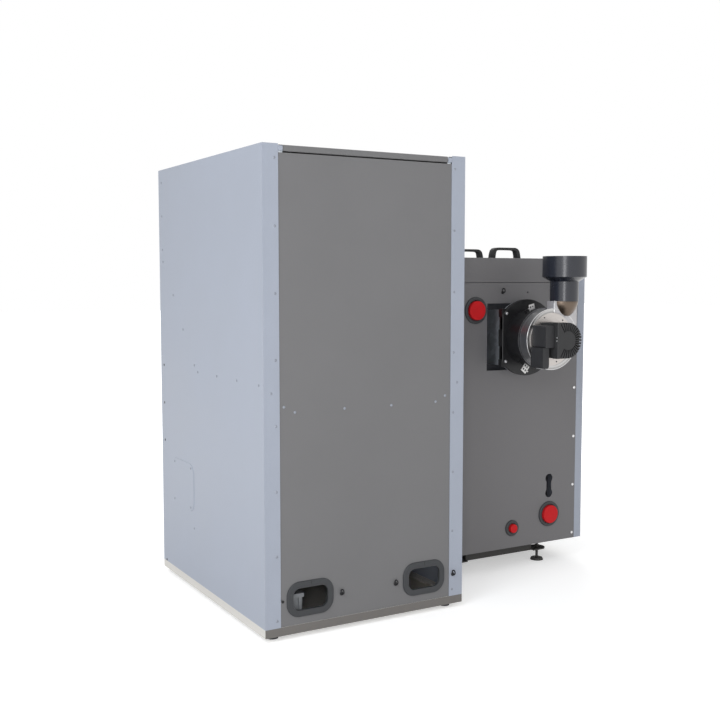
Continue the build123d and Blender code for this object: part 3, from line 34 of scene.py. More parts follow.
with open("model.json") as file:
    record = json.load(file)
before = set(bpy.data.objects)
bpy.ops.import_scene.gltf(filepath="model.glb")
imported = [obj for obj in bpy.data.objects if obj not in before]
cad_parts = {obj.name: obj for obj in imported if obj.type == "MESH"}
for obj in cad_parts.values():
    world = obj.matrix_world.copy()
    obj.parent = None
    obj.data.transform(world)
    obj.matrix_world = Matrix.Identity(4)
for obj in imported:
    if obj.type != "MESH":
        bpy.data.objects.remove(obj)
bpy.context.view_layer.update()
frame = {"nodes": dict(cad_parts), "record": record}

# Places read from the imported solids
casing_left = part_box("cabinet_inner_side")[0].x
casing_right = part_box("cabinet_outer_side")[1].x
cabinet_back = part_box("cabinet_outer_side")[1].y
rear_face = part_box("cabinet_rear_panel")[1].y
plate_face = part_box("blanking_plate")[1].x
lid_low, lid_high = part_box("hopper_lid")
trim_low, trim_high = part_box("port_trims")
anchors_low, anchors_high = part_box("cable_anchors")
boiler_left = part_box("boiler_outer_side")[0].x
boiler_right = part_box("boiler_inner_side")[1].x
boiler_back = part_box("boiler_rear_panel")[1].y
flange_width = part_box("boiler_rear_panel")[0].x - boiler_left
cover_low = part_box("rear_cover")[0]
boiler_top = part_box("rear_cover")[1].z
handles_low, handles_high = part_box("cover_handles")
fan_low, fan_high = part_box("fan_housing")
fan_x = (fan_low.x + fan_high.x) / 2
fan_z = (fan_low.z + fan_high.z) / 2
fan_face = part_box("fan_face_plate")[1].y
cap_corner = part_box("motor_cap")[1]

BACKWARDS = (0, 1, 0)
OUTWARDS = (1, 0, 0)
INWARDS = (-1, 0, 0)
UPWARDS = (0, 0, 1)


# Modelling helpers

def clear():
    """Back in object mode with nothing selected."""
    if bpy.context.object and bpy.context.object.mode != "OBJECT":
        bpy.ops.object.mode_set(mode="OBJECT")
    bpy.ops.object.select_all(action="DESELECT")


def pick(piece):
    """Makes one object the only selected one."""
    clear()
    piece.select_set(True)
    bpy.context.view_layer.objects.active = piece


def settle():
    """Moves the place, turn and scale of the selected object into its mesh."""
    bpy.ops.object.transform_apply(location=True, rotation=True, scale=True)


def round_bar(name, radius, depth, sides=20, base=0.0):
    """A cylinder that stands on Z = base, selected and named."""
    clear()
    middle = (0, 0, base + depth / 2)
    bpy.ops.mesh.primitive_cylinder_add(vertices=sides, radius=radius, depth=depth, location=middle)
    piece = bpy.context.object
    piece.name = name
    settle()
    return piece


def ring(name, radius, thickness, place, around, about):
    """A torus that lies flat around a place, with so many steps around it and about its section."""
    clear()
    bpy.ops.mesh.primitive_torus_add(major_segments=around, minor_segments=about, major_radius=radius,
                                     minor_radius=thickness / 2, location=place)
    piece = bpy.context.object
    piece.name = name
    return piece


def block(name, low, high):
    """A box between two corners, selected and named."""
    clear()
    middle = (Vector(low) + Vector(high)) / 2
    bpy.ops.mesh.primitive_cube_add(size=1, location=middle, scale=Vector(high) - Vector(low))
    piece = bpy.context.object
    piece.name = name
    settle()
    return piece


def edit_only(piece, kind, wanted):
    """Edit mode with only the faces or edges selected that wanted() accepts."""
    pick(piece)
    bpy.ops.object.mode_set(mode="EDIT")
    bpy.ops.mesh.select_mode(type=kind)
    bpy.ops.mesh.select_all(action="DESELECT")
    mesh = bmesh.from_edit_mesh(piece.data)
    for part in (mesh.faces if kind == "FACE" else mesh.edges):
        part.select_set(wanted(part))
    bmesh.update_edit_mesh(piece.data)


def edit_faces(piece, wanted):
    """Edit mode with the wanted faces selected."""
    edit_only(piece, "FACE", wanted)


def edit_edges(piece, wanted):
    """Edit mode with the wanted edges selected."""
    edit_only(piece, "EDGE", wanted)


def faces_up(face):
    """True for a face that looks along +Z."""
    return face.normal.z > 0.99


def faces_back(face):
    """True for a face that looks along +Y."""
    return face.normal.y > 0.99


def faces_down(face):
    """True for a face that looks along -Z."""
    return face.normal.z < -0.99


def upright(edge):
    """True for an edge that rises by more than 50 mm."""
    return abs(edge.verts[0].co.z - edge.verts[1].co.z) > 0.05


def inset(width, rise=0.0):
    """Insets the selected faces and moves the inner ones along their normal."""
    bpy.ops.mesh.inset(thickness=width, depth=rise)


def grow(radius_step, rise):
    """Extrudes the selected cap by rise and widens it by radius_step."""
    bpy.ops.mesh.extrude_region_move(TRANSFORM_OT_translate={"value": (0, 0, rise)})
    mesh = bmesh.from_edit_mesh(bpy.context.object.data)
    reach = max(v.co.x for v in mesh.verts if v.select)
    factor = (reach + radius_step) / reach
    bpy.ops.transform.resize(value=(factor, factor, 1.0))


def finished(piece, angle=40.0):
    """Merges doubles, turns the faces outwards and smooths the edges that are flatter than the angle."""
    bpy.ops.object.mode_set(mode="EDIT")
    bpy.ops.mesh.select_all(action="SELECT")
    bpy.ops.mesh.remove_doubles(threshold=0.00001)
    bpy.ops.mesh.normals_make_consistent(inside=False)
    bpy.ops.object.mode_set(mode="OBJECT")
    bpy.ops.object.shade_smooth_by_angle(angle=math.radians(angle))
    return piece


def joined(name, parts):
    """Several objects made one."""
    clear()
    for part in parts:
        part.select_set(True)
    bpy.context.view_layer.objects.active = parts[0]
    bpy.ops.object.join()
    parts[0].name = name
    return parts[0]


def copies(model, name, places):
    """Copies a piece modelled at the origin along +Z to each (point, facing) and joins the copies."""
    made = []
    for point, facing in places:
        pick(model)
        bpy.ops.object.duplicate(linked=False)
        copy = bpy.context.object
        copy.location = point
        copy.rotation_euler = Vector(facing).to_track_quat("Z", "Y").to_euler()
        made.append(copy)
    all_made = joined(name, made)
    settle()
    return all_made


def discard(*models):
    """Removes the models that were only copied from."""
    clear()
    for model in models:
        model.select_set(True)
    bpy.ops.object.delete()


def fit(piece, body, material):
    """Gives a finished piece its material and its body."""
    piece.data.materials.clear()
    piece.data.materials.append(material)
    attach(piece, body)
    return piece


# Node helpers

def node(tree, kind, **values):
    """A new shader node with its settings."""
    made = tree.nodes.new("ShaderNode" + kind)
    for key, value in values.items():
        setattr(made, key, value)
    return made


def link(tree, source, target):
    """A link between two sockets."""
    tree.links.new(source, target)


def object_place(tree):
    """Object coordinates."""
    return node(tree, "TexCoord").outputs["Object"]


def spread(tree, source, low, high, start=0.3, end=0.7):
    """Maps start..end of a value, at first the usual span of a noise, to low..high."""
    made = node(tree, "MapRange")
    made.inputs["From Min"].default_value = start
    made.inputs["From Max"].default_value = end
    made.inputs["To Min"].default_value = low
    made.inputs["To Max"].default_value = high
    link(tree, source, made.inputs["Value"])
    return made.outputs["Result"]


def noise(tree, vector, scale, detail=2.0, roughness=0.5, output="Fac"):
    """Noise on a vector."""
    made = node(tree, "TexNoise")
    made.inputs["Scale"].default_value = scale
    made.inputs["Detail"].default_value = detail
    made.inputs["Roughness"].default_value = roughness
    link(tree, vector, made.inputs["Vector"])
    return made.outputs[output]


def grain_noise(tree, vector, entry, detail):
    """Noise on a vector, as fine as the group's Grain."""
    made = node(tree, "TexNoise")
    made.inputs["Detail"].default_value = detail
    link(tree, vector, made.inputs["Vector"])
    link(tree, entry.outputs["Grain"], made.inputs["Scale"])
    return made.outputs["Fac"]


def sum_up(tree, operation, one, two):
    """Two values taken together; either may be a number."""
    made = node(tree, "Math", operation=operation)
    for socket, value in zip(made.inputs, (one, two)):
        if isinstance(value, (int, float)):
            socket.default_value = value
        else:
            link(tree, value, socket)
    return made.outputs[0]


def times(tree, one, two):
    """One value times another."""
    return sum_up(tree, "MULTIPLY", one, two)


def plus(tree, one, two):
    """One value plus another."""
    return sum_up(tree, "ADD", one, two)


def effect(name, values):
    """A node group: a colour, a roughness and the named values in, a colour, roughness and normal out."""
    tree = bpy.data.node_groups.new(name, "ShaderNodeTree")
    face = tree.interface
    face.new_socket("Color", in_out="INPUT", socket_type="NodeSocketColor")
    face.new_socket("Roughness", in_out="INPUT", socket_type="NodeSocketFloat")
    for key in values:
        face.new_socket(key, in_out="INPUT", socket_type="NodeSocketFloat")
    face.new_socket("Color", in_out="OUTPUT", socket_type="NodeSocketColor")
    face.new_socket("Roughness", in_out="OUTPUT", socket_type="NodeSocketFloat")
    face.new_socket("Normal", in_out="OUTPUT", socket_type="NodeSocketVector")
    return tree, tree.nodes.new("NodeGroupInput"), object_place(tree)


def put_out(tree, entry, tone, gloss, height, depth):
    """Ends an effect: its colour times tone, its roughness plus gloss, and a bump set by its Relief."""
    leave = tree.nodes.new("NodeGroupOutput")
    colour = node(tree, "VectorMath", operation="SCALE")
    link(tree, entry.outputs["Color"], colour.inputs[0])
    link(tree, tone, colour.inputs["Scale"])
    link(tree, colour.outputs["Vector"], leave.inputs["Color"])
    link(tree, plus(tree, entry.outputs["Roughness"], gloss), leave.inputs["Roughness"])
    relief = node(tree, "Bump")
    relief.inputs["Distance"].default_value = depth
    link(tree, height, relief.inputs["Height"])
    link(tree, entry.outputs["Relief"], relief.inputs["Strength"])
    link(tree, relief.outputs["Normal"], leave.inputs["Normal"])
    return tree


# Surface effects

def powder_coat():
    """Baked powder coat: fine orange peel, faint mottling of shade and gloss."""
    tree, entry, place = effect("powder_coat", ["Grain", "Relief"])
    cloud = noise(tree, place, 3.5, 3.0)
    fleck = grain_noise(tree, place, entry, 1.0)
    tone = times(tree, spread(tree, cloud, 0.965, 1.03), spread(tree, fleck, 0.97, 1.03))
    return put_out(tree, entry, tone, spread(tree, cloud, -0.04, 0.05), fleck, 0.0004)


def brushed_metal():
    """Ground or rolled metal: fine streaks along Streak X, Y or Z, where a small value is a long streak."""
    tree, entry, place = effect("brushed_metal", ["Streak X", "Streak Y", "Streak Z", "Relief"])
    axis = node(tree, "CombineXYZ")
    for letter in "XYZ":
        link(tree, entry.outputs["Streak " + letter], axis.inputs[letter])
    stretch = node(tree, "VectorMath", operation="MULTIPLY")
    link(tree, place, stretch.inputs[0])
    link(tree, axis.outputs["Vector"], stretch.inputs[1])
    hair = noise(tree, stretch.outputs["Vector"], 1.0, 4.0, 0.65)
    haze = noise(tree, place, 14.0, 3.0)
    tone = times(tree, spread(tree, hair, 0.9, 1.06), spread(tree, haze, 0.95, 1.04))
    gloss = plus(tree, spread(tree, hair, -0.06, 0.09), spread(tree, haze, -0.03, 0.05))
    return put_out(tree, entry, tone, gloss, hair, 0.0002)


def zinc_flowers():
    """Hot-dip zinc: angular crystal patches, each with its own shade and gloss."""
    tree, entry, place = effect("zinc_flowers", ["Crystal", "Relief"])
    bent = node(tree, "VectorMath", operation="MULTIPLY_ADD")
    link(tree, noise(tree, place, 60.0, 2.0, output="Color"), bent.inputs[0])
    bent.inputs[1].default_value = (0.006, 0.006, 0.006)
    link(tree, place, bent.inputs[2])
    cell = node(tree, "TexVoronoi")
    link(tree, bent.outputs["Vector"], cell.inputs["Vector"])
    link(tree, entry.outputs["Crystal"], cell.inputs["Scale"])
    shade = node(tree, "SeparateColor")
    link(tree, cell.outputs["Color"], shade.inputs["Color"])
    tone = spread(tree, shade.outputs["Red"], 0.84, 1.1, 0.0, 1.0)
    gloss = spread(tree, shade.outputs["Green"], -0.08, 0.12, 0.0, 1.0)
    return put_out(tree, entry, tone, gloss, shade.outputs["Blue"], 0.0002)


def cast_skin():
    """Sand-cast or scaled metal: coarse lumps over fine grit."""
    tree, entry, place = effect("cast_skin", ["Grain", "Relief"])
    lump = noise(tree, place, 45.0, 4.0, 0.6)
    grit = grain_noise(tree, place, entry, 3.0)
    tone = times(tree, spread(tree, lump, 0.82, 1.18), spread(tree, grit, 0.9, 1.1))
    height = plus(tree, lump, times(tree, grit, 0.4))
    return put_out(tree, entry, tone, spread(tree, lump, -0.08, 0.1), height, 0.0008)


def moulded_skin():
    """Moulded plastic or rubber: fine spark-eroded texture and slight cloudiness."""
    tree, entry, place = effect("moulded_skin", ["Grain", "Relief"])
    pit = grain_noise(tree, place, entry, 2.0)
    cloud = noise(tree, place, 22.0, 2.0)
    tone = times(tree, spread(tree, cloud, 0.93, 1.07), spread(tree, pit, 0.94, 1.06))
    return put_out(tree, entry, tone, spread(tree, cloud, -0.05, 0.06), pit, 0.0003)


coat = powder_coat()
brushed = brushed_metal()
zinc = zinc_flowers()
cast = cast_skin()
moulded = moulded_skin()


# Materials

def finish(name, tree, colour, roughness, metallic=0.0, specular=0.5, **values):
    """A material: one effect group on a Principled BSDF."""
    material = bpy.data.materials.new(name)
    material.use_nodes = True
    nodes = material.node_tree
    shader = nodes.nodes["Principled BSDF"]
    surface = nodes.nodes.new("ShaderNodeGroup")
    surface.node_tree = tree
    surface.inputs["Color"].default_value = (*colour, 1.0)
    surface.inputs["Roughness"].default_value = roughness
    for key, value in values.items():
        surface.inputs[key.replace("_", " ")].default_value = value
    shader.inputs["Metallic"].default_value = metallic
    shader.inputs["Specular IOR Level"].default_value = specular
    link(nodes, surface.outputs["Color"], shader.inputs["Base Color"])
    link(nodes, surface.outputs["Roughness"], shader.inputs["Roughness"])
    link(nodes, surface.outputs["Normal"], shader.inputs["Normal"])
    return material


def metal(name, colour, roughness, streaks, relief, metallic=1.0):
    """A brushed metal with its streaks along X, Y and Z."""
    along = dict(zip(("Streak_X", "Streak_Y", "Streak_Z"), streaks))
    return finish(name, brushed, colour, roughness, metallic, Relief=relief, **along)


def two_tone(material, first, second, level, width):
    """Changes a finish's colour from first to second where the place along Y passes a level."""
    nodes = material.node_tree
    surface = next(piece for piece in nodes.nodes if piece.type == "GROUP")
    place = node(nodes, "SeparateXYZ")
    link(nodes, object_place(nodes), place.inputs["Vector"])
    mix = node(nodes, "Mix", data_type="RGBA")
    mix.inputs["A"].default_value = (*first, 1.0)
    mix.inputs["B"].default_value = (*second, 1.0)
    share = spread(nodes, place.outputs["Y"], 0.0, 1.0, level - width, level + width)
    link(nodes, share, mix.inputs["Factor"])
    link(nodes, mix.outputs["Result"], surface.inputs["Color"])
    return material


def display_glass():
    """Dark glass over a plain, unlit panel."""
    material = bpy.data.materials.new("display_glass")
    material.use_nodes = True
    tree = material.node_tree
    shader = tree.nodes["Principled BSDF"]
    cloud = noise(tree, object_place(tree), 25.0, 2.0)
    ramp = node(tree, "ValToRGB")
    ramp.color_ramp.elements[0].color = (0.006, 0.008, 0.01, 1.0)
    ramp.color_ramp.elements[1].color = (0.012, 0.016, 0.02, 1.0)
    link(tree, cloud, ramp.inputs["Fac"])
    link(tree, ramp.outputs["Color"], shader.inputs["Base Color"])
    link(tree, spread(tree, cloud, 0.05, 0.09), shader.inputs["Roughness"])
    shader.inputs["Coat Weight"].default_value = 0.6
    return material


plinth_side, plinth_rear = (0.68, 0.655, 0.61), (0.15, 0.14, 0.13)
volute_wall, volute_front = (0.36, 0.36, 0.37), (0.42, 0.415, 0.41)

# Finishes by slot of the record
looks = {
    "casing_light": finish("light_powder_coat", coat, (0.36, 0.39, 0.455), 0.45, specular=0.35,
                           Grain=900.0, Relief=0.18),
    "casing_grey": finish("grey_powder_coat", coat, (0.166, 0.164, 0.166), 0.5, specular=0.4,
                          Grain=1100.0, Relief=0.3),
    "plinth_grey": two_tone(finish("plinth_paint", coat, plinth_side, 0.6, Grain=700.0, Relief=0.2),
                            plinth_side, plinth_rear, cabinet_back - 0.0006, 0.0002),
    "frame_dark": finish("frame_paint", coat, (0.03, 0.028, 0.026), 0.6, Grain=500.0, Relief=0.4),
    "flue_anthracite": finish("satin_anthracite", coat, (0.014, 0.016, 0.024), 0.27, specular=0.62,
                              Grain=1000.0, Relief=0.04),
    "rubber_dark": finish("edge_rubber", moulded, (0.035, 0.037, 0.04), 0.62, Grain=1400.0, Relief=0.25),
    "anchor_nylon": finish("black_nylon", moulded, (0.014, 0.014, 0.015), 0.5, specular=0.3,
                           Grain=900.0, Relief=0.1),
    "box_grey": finish("junction_box_plastic", moulded, (0.42, 0.44, 0.46), 0.5, Grain=900.0, Relief=0.15),
    "cap_red": finish("cap_plastic", moulded, (0.58, 0.016, 0.02), 0.45, specular=0.12,
                      Grain=500.0, Relief=0.08),
    "handle_black": finish("handle_plastic", moulded, (0.03, 0.03, 0.031), 0.5, specular=0.3,
                           Grain=1500.0, Relief=0.3),
    "lever_black": finish("lever_plastic", moulded, (0.02, 0.02, 0.021), 0.4, Grain=1200.0, Relief=0.2),
    "motor_black": finish("motor_paint", moulded, (0.034, 0.034, 0.035), 0.48, specular=0.25,
                          Grain=1200.0, Relief=0.25),
    "plug_black": finish("plug_plastic", moulded, (0.033, 0.033, 0.035), 0.5, specular=0.25,
                         Grain=1300.0, Relief=0.25),
    "display_glass": display_glass(),
    "drive_grey": finish("painted_gearbox", cast, (0.2, 0.21, 0.22), 0.5, Grain=500.0, Relief=0.3),
    "vessel_steel": finish("vessel_paint", cast, (0.05, 0.052, 0.06), 0.65, Grain=300.0, Relief=0.35),
    "door_grey": finish("door_paint", cast, (0.06, 0.06, 0.065), 0.5, Grain=600.0, Relief=0.2),
    "insulation": finish("fibre_board", cast, (0.6, 0.56, 0.48), 0.9, Grain=250.0, Relief=0.8),
    "cast_iron": finish("cast_iron", cast, (0.05, 0.045, 0.04), 0.7, 0.3, Grain=400.0, Relief=0.8),
    "housing_black": finish("housing_paint", cast, (0.011, 0.011, 0.012), 0.4, specular=0.35,
                            Grain=700.0, Relief=0.15),
    "zinc": finish("galvanised_sheet", zinc, (0.56, 0.6, 0.64), 0.36, 0.9, Crystal=55.0, Relief=0.1),
    "pins_steel": metal("zinc_plated_steel", (0.4, 0.4, 0.41), 0.45, (120.0, 120.0, 900.0), 0.1),
    "auger_steel": metal("raw_auger_steel", (0.36, 0.34, 0.32), 0.45, (40.0, 500.0, 500.0), 0.3),
    "pipe_steel": metal("pipe_steel", (0.3, 0.29, 0.28), 0.45, (400.0, 30.0, 400.0), 0.2),
    "wheel_steel": metal("wheel_steel", (0.5, 0.49, 0.47), 0.35, (300.0, 60.0, 300.0), 0.2),
    "stainless": metal("bright_stainless", (0.5, 0.47, 0.45), 0.38, (260.0, 900.0, 260.0), 0.04),
    "clip_bright": metal("nickel_plate", (0.46, 0.455, 0.45), 0.3, (200.0, 200.0, 200.0), 0.05),
}

# Finishes that no slot has
boiler_grey = finish("boiler_rear_coat", coat, (0.15, 0.146, 0.15), 0.5, Grain=1100.0, Relief=0.3)
recess_dark = finish("hole_shadow", moulded, (0.01, 0.01, 0.01), 0.7, Grain=600.0, Relief=0.1)
rivet_metal = metal("rivet_aluminium", (0.3, 0.32, 0.36), 0.5, (500.0, 500.0, 500.0), 0.1, metallic=0.8)
screw_metal = metal("bright_screw", (0.72, 0.72, 0.72), 0.3, (500.0, 500.0, 500.0), 0.1)
neck_steel = metal("rolled_stainless", (0.5, 0.49, 0.5), 0.5, (260.0, 260.0, 900.0), 0.05, metallic=0.55)
# The outlet bulge's dark brown-grey colour is a painted reflection: it stands in for the dark surroundings
# mirrored in the cone.
brown_reflection_steel = metal("stainless_with_painted_reflection", (0.13, 0.1, 0.078), 0.34, (260.0, 260.0, 900.0), 0.05,
                     metallic=0.9)
scroll_steel = two_tone(metal("spun_stainless", volute_wall, 0.3, (260.0, 900.0, 260.0), 0.04),
                        volute_wall, volute_front, boiler_back + 0.2035, 0.0008)

slot_of = {row["node"]: row["material_slot"] for row in frame["record"]["subparts"]}
for name, solid in frame["nodes"].items():
    solid.data.materials.clear()
    solid.data.materials.append(looks[slot_of[name]])

# Solids that look different from their slot
frame["nodes"]["boiler_rear_panel"].data.materials[0] = boiler_grey
frame["nodes"]["blanking_plate"].data.materials[0] = looks["casing_light"]
frame["nodes"]["levelling_feet"].data.materials[0] = looks["frame_dark"]


# Fittings, each modelled once and copied

rivet_radius, rivet_rise = 0.0042, 0.0006
panel_screw_radius, face_screw_radius, cap_screw_radius = 0.005, 0.0024, 0.0022
hole_radius, vent_radius, hole_rise = 0.0045, 0.0016, 0.0004


def rivet():
    """Blind rivet: a low domed head with the dimple of its pulled stem."""
    head = round_bar("rivet_model", rivet_radius, rivet_rise)
    edit_faces(head, faces_up)
    brim, dome, crown, dimple = (0.0006, 0.0005), (0.0012, 0.0004), (0.0010, 0.0), (0.0002, -0.0006)
    for width, rise in (brim, dome, crown, dimple):
        inset(width, rise)
    return finished(head, 50.0)


def pan_screw(name, radius):
    """Pan head screw with a round socket."""
    head = round_bar(name, radius, radius * 0.35, sides=24)
    edit_faces(head, faces_up)
    shoulder, pan, crown, socket = (0.15, 0.13), (0.25, 0.07), (0.15, 0.0), (0.04, -0.3)
    for width, rise in (shoulder, pan, crown, socket):
        inset(radius * width, radius * rise)
    return finished(head, 45.0)


def punched_hole(name, radius):
    """A punched hole seen as a shallow dark cup with a thin turned rim."""
    cup = round_bar(name, radius, hole_rise)
    edit_faces(cup, faces_up)
    inset(radius * 0.18, 0.0001)
    inset(radius * 0.1, -0.0003)
    return finished(cup, 30.0)


def small_plate(name, low, high, width, rise):
    """A small plate whose rear face has its middle raised, or sunk where rise is negative."""
    plate = block(name, low, high)
    edit_faces(plate, faces_back)
    inset(width, rise)
    return finished(plate)


def all_facing(points, facing):
    """The places that copies() takes, all with one facing."""
    return [(point, facing) for point in points]


def on_plane(points, axis, place):
    """The points with one coordinate replaced."""
    moved = []
    for point in points:
        point = point.copy()
        setattr(point, axis, place)
        moved.append(point)
    return moved


# Rivets and holes of the cabinet

foot_height = 0.015


def cabinet_point(inward, forward, level):
    """A cabinet point in millimetres: in from its outer side, forward from its back and up from its feet."""
    return Vector((casing_right - inward / 1000, cabinet_back - forward / 1000, level / 1000 + foot_height))


flange_columns = (38.5, 669.5)
flange_first, flange_pitch, flange_count = 48.2, 194.4, 8
flange_extras = ((23.3, 729), (684, 729))
rear_rivets = ((66, 686.6), (101.7, 669.3), (269.6, 670.4), (436.2, 669.7), (602.3, 670.8), (638.9, 688.3))
side_rivets = ((867, 1404.4), (867, 1285.4), (867, 1166.1), (860.5, 1122.8), (758.7, 1004.8), (663.4, 888),
               (560.1, 771.8), (527.5, 751), (359.5, 751), (197, 751), (33.1, 751), (580.7, 208.2))
side_holes = ((866, 750.6), (866, 613.5), (866, 476.7), (867, 30.6))
cable_hole = (58.8, 102.9)
blank_rivets = ((762.2, 413.6), (603.6, 412.2), (768, 278.3), (608.7, 275.3))

rivet_model = rivet()
hole_model = punched_hole("hole_model", hole_radius)

flange_places = [cabinet_point(x, 0, flange_first + flange_pitch * k)
                 for k in range(flange_count) for x in flange_columns]
flange_places += [cabinet_point(x, 0, z) for x, z in flange_extras]
flange_rivets = copies(rivet_model, "cabinet_flange_rivets", all_facing(flange_places, BACKWARDS))
fit(flange_rivets, "body", rivet_metal)

rear_places = on_plane([cabinet_point(x, 0, z) for x, z in rear_rivets], "y", rear_face)
rear_panel_rivets = copies(rivet_model, "cabinet_rear_rivets", all_facing(rear_places, BACKWARDS))
fit(rear_panel_rivets, "body", rivet_metal)

outer_places = [cabinet_point(0, y, z) for y, z in side_rivets]
outer_rivets = copies(rivet_model, "outer_side_rivets", all_facing(outer_places, OUTWARDS))
fit(outer_rivets, "body", rivet_metal)
inner_places = on_plane(outer_places, "x", casing_left)
inner_rivets = copies(rivet_model, "inner_side_rivets", all_facing(inner_places, INWARDS))
fit(inner_rivets, "body", rivet_metal)

hole_places = [cabinet_point(0, y, z) for y, z in side_holes]
cable_hole_place = on_plane([cabinet_point(cable_hole[0], 0, cable_hole[1])], "y", rear_face)
holes = all_facing(hole_places, OUTWARDS) + all_facing(on_plane(hole_places, "x", casing_left), INWARDS)
holes += all_facing(cable_hole_place, BACKWARDS)
fit(copies(hole_model, "side_panel_holes", holes), "body", recess_dark)

blank_places = on_plane([cabinet_point(0, y, z) for y, z in blank_rivets], "x", plate_face)
plate_rivets = copies(rivet_model, "blanking_plate_rivets", all_facing(blank_places, OUTWARDS))
fit(plate_rivets, "body", rivet_metal)


# Screws of the boiler's rear panel

screw_inset = 0.0447
screw_first, screw_pitch, screw_count = 0.1054, 0.1868, 6

screw_model = pan_screw("screw_model", panel_screw_radius)
screw_places = [Vector((boiler_left + screw_inset, boiler_back, screw_first + screw_pitch * k))
                for k in range(screw_count)]
screw_places += on_plane(screw_places, "x", boiler_right - screw_inset)
panel_screws = copies(screw_model, "boiler_rear_screws", all_facing(screw_places, BACKWARDS))
fit(panel_screws, "body", screw_metal)
discard(rivet_model, screw_model, hole_model)


# Fan: volute with its bead, neck and outlet bulge

# Millimetres out from the boiler's rear panel
FLANGE_FACE = 74.4
CLIP_OUT = 150
SCROLL_BACK, SCROLL_FRONT = 158, 205
OUTLET_OUT = 184.5

# Millimetres up from the shaft
NECK_BOTTOM, NECK_TOP, OUTLET_TOP = 20, 132, 146

# Millimetres across from the shaft, towards the boiler's left side
NECK_NEAR, NECK_FAR = 13.5, 118
OUTLET_ACROSS = 72


def fan_point(across, up, out):
    """A point of the fan in millimetres: across to the left, up from its shaft, out from the rear panel."""
    return Vector((fan_x - across / 1000, boiler_back + out / 1000, fan_z + up / 1000))


def face_out(piece):
    """Turns a piece modelled along +Z so that it looks out of the fan, and moves it to the fan's middle."""
    pick(piece)
    piece.rotation_euler = (math.radians(-90), 0, 0)
    piece.location = fan_point(0, 0, 0)
    settle()
    return piece


def stretch_to_volute():
    """Makes the round shape in edit mode a little wider than tall, and moves it off the shaft."""
    bpy.ops.mesh.select_all(action="SELECT")
    bpy.ops.transform.resize(value=(1.04, 0.98, 1.0), center_override=(0, 0, 0))
    bpy.ops.transform.translate(value=(-0.007, 0, 0))


def fan_scroll_shell():
    """Volute: clamping flange at the back, groove, deep wall and a front plate with a rolled edge."""
    clamp_radius, clamp_thickness = 0.110, 0.003
    shell = round_bar("fan_scroll_shell", clamp_radius, clamp_thickness, sides=96, base=SCROLL_BACK / 1000)
    edit_faces(shell, faces_up)
    groove = ((-0.0065, 0.0), (0.0, 0.003), (0.0035, 0.001))
    wall = ((0.0, 0.0375),)
    rolled_edge = ((0.0012, 0.0008), (0.0, 0.0014), (-0.0012, 0.0003), (-0.0018, -0.0009))
    for step, rise in groove + wall + rolled_edge:
        grow(step, rise)
    front_groove = ((0.010, 0.0), (0.0012, 0.0008), (0.0012, -0.0008))
    for width, rise in front_groove:
        inset(width, rise)
    stretch_to_volute()
    finished(shell, 35.0)
    return face_out(shell)


def fan_scroll_rim():
    """Rolled bead round the volute's front plate, and the folded seam up the neck's corner."""
    bead_radius, bead_thickness, bead_level = 0.1081, 0.0022, (SCROLL_FRONT - 0.9) / 1000
    rim = ring("fan_scroll_rim", bead_radius, bead_thickness, (0, 0, bead_level), 96, 12)
    settle()
    edit_faces(rim, lambda face: True)
    stretch_to_volute()
    finished(rim, 60.0)
    face_out(rim)
    seam_length, seam_radius = 42, 0.0013
    seam_foot = fan_point(0, NECK_TOP + 1 - seam_length, 0).z
    seam = round_bar("seam", seam_radius, seam_length / 1000, sides=16, base=seam_foot)
    edit_faces(seam, faces_up)
    inset(0.0005, 0.0004)
    finished(seam, 60.0)
    corner = fan_point(NECK_NEAR + 0.9, 0, SCROLL_FRONT - 1.5)
    seam.location = (corner.x, corner.y, 0)
    settle()
    return joined("fan_scroll_rim", [rim, seam])


def fan_outlet_neck():
    """Upright flat-sided neck of the volute, with rounded corners."""
    neck = block("fan_outlet_neck", fan_point(NECK_FAR, NECK_BOTTOM, SCROLL_BACK + 6),
                 fan_point(NECK_NEAR, NECK_TOP, SCROLL_FRONT - 0.6))
    corner_radius = 0.0022
    edit_edges(neck, upright)
    bpy.ops.mesh.bevel(offset=corner_radius, segments=4, profile=0.5)
    return finished(neck, 35.0)


def fan_outlet_bulge():
    """Half cone that leads from the flat neck into the round outlet, and the outlet's sleeve."""
    sleeve_radius, sleeve_length = 0.0445, (OUTLET_TOP - NECK_TOP) / 1000
    bulge = round_bar("fan_outlet_bulge", sleeve_radius, sleeve_length, sides=64, base=NECK_TOP / 1000)
    edit_faces(bulge, faces_down)
    lip = ((-0.0006, 1.19, 1.04, 0.0), (-0.0014, 1.01, 1.005, 0.0))
    cone = ((-0.012, 0.96, 0.94, 0.001), (-0.014, 0.87, 0.86, 0.001), (-0.014, 0.74, 0.78, 0.001),
            (-0.010, 0.52, 0.72, 0.001))
    for drop, wide, deep, back in lip + cone:
        bpy.ops.mesh.extrude_region_move(TRANSFORM_OT_translate={"value": (0, back, drop)})
        bpy.ops.transform.resize(value=(wide, deep, 1.0))
    finished(bulge, 50.0)
    bulge.location = fan_point(OUTLET_ACROSS, 0, OUTLET_OUT)
    settle()
    return bulge


scroll = fan_scroll_shell()
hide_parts("fan_scroll")
fit(scroll, "body", scroll_steel)
fit(fan_scroll_rim(), "body", screw_metal)
fit(fan_outlet_neck(), "body", neck_steel)
# The bulge's finish carries a painted brown reflection in its colour.
fit(fan_outlet_bulge(), "body", brown_reflection_steel)


# Screws of the fan's face plate

FACE_SCREW_CIRCLE, FACE_SCREW_ANGLES = 82, (-23, 37, 97, 163, 223, 283)
FACE_OUT = (fan_face - boiler_back) * 1000


def face_point(angle):
    """A point of the screw circle, at an angle from the top."""
    turn = math.radians(angle)
    return fan_point(FACE_SCREW_CIRCLE * math.sin(turn), FACE_SCREW_CIRCLE * math.cos(turn), FACE_OUT)


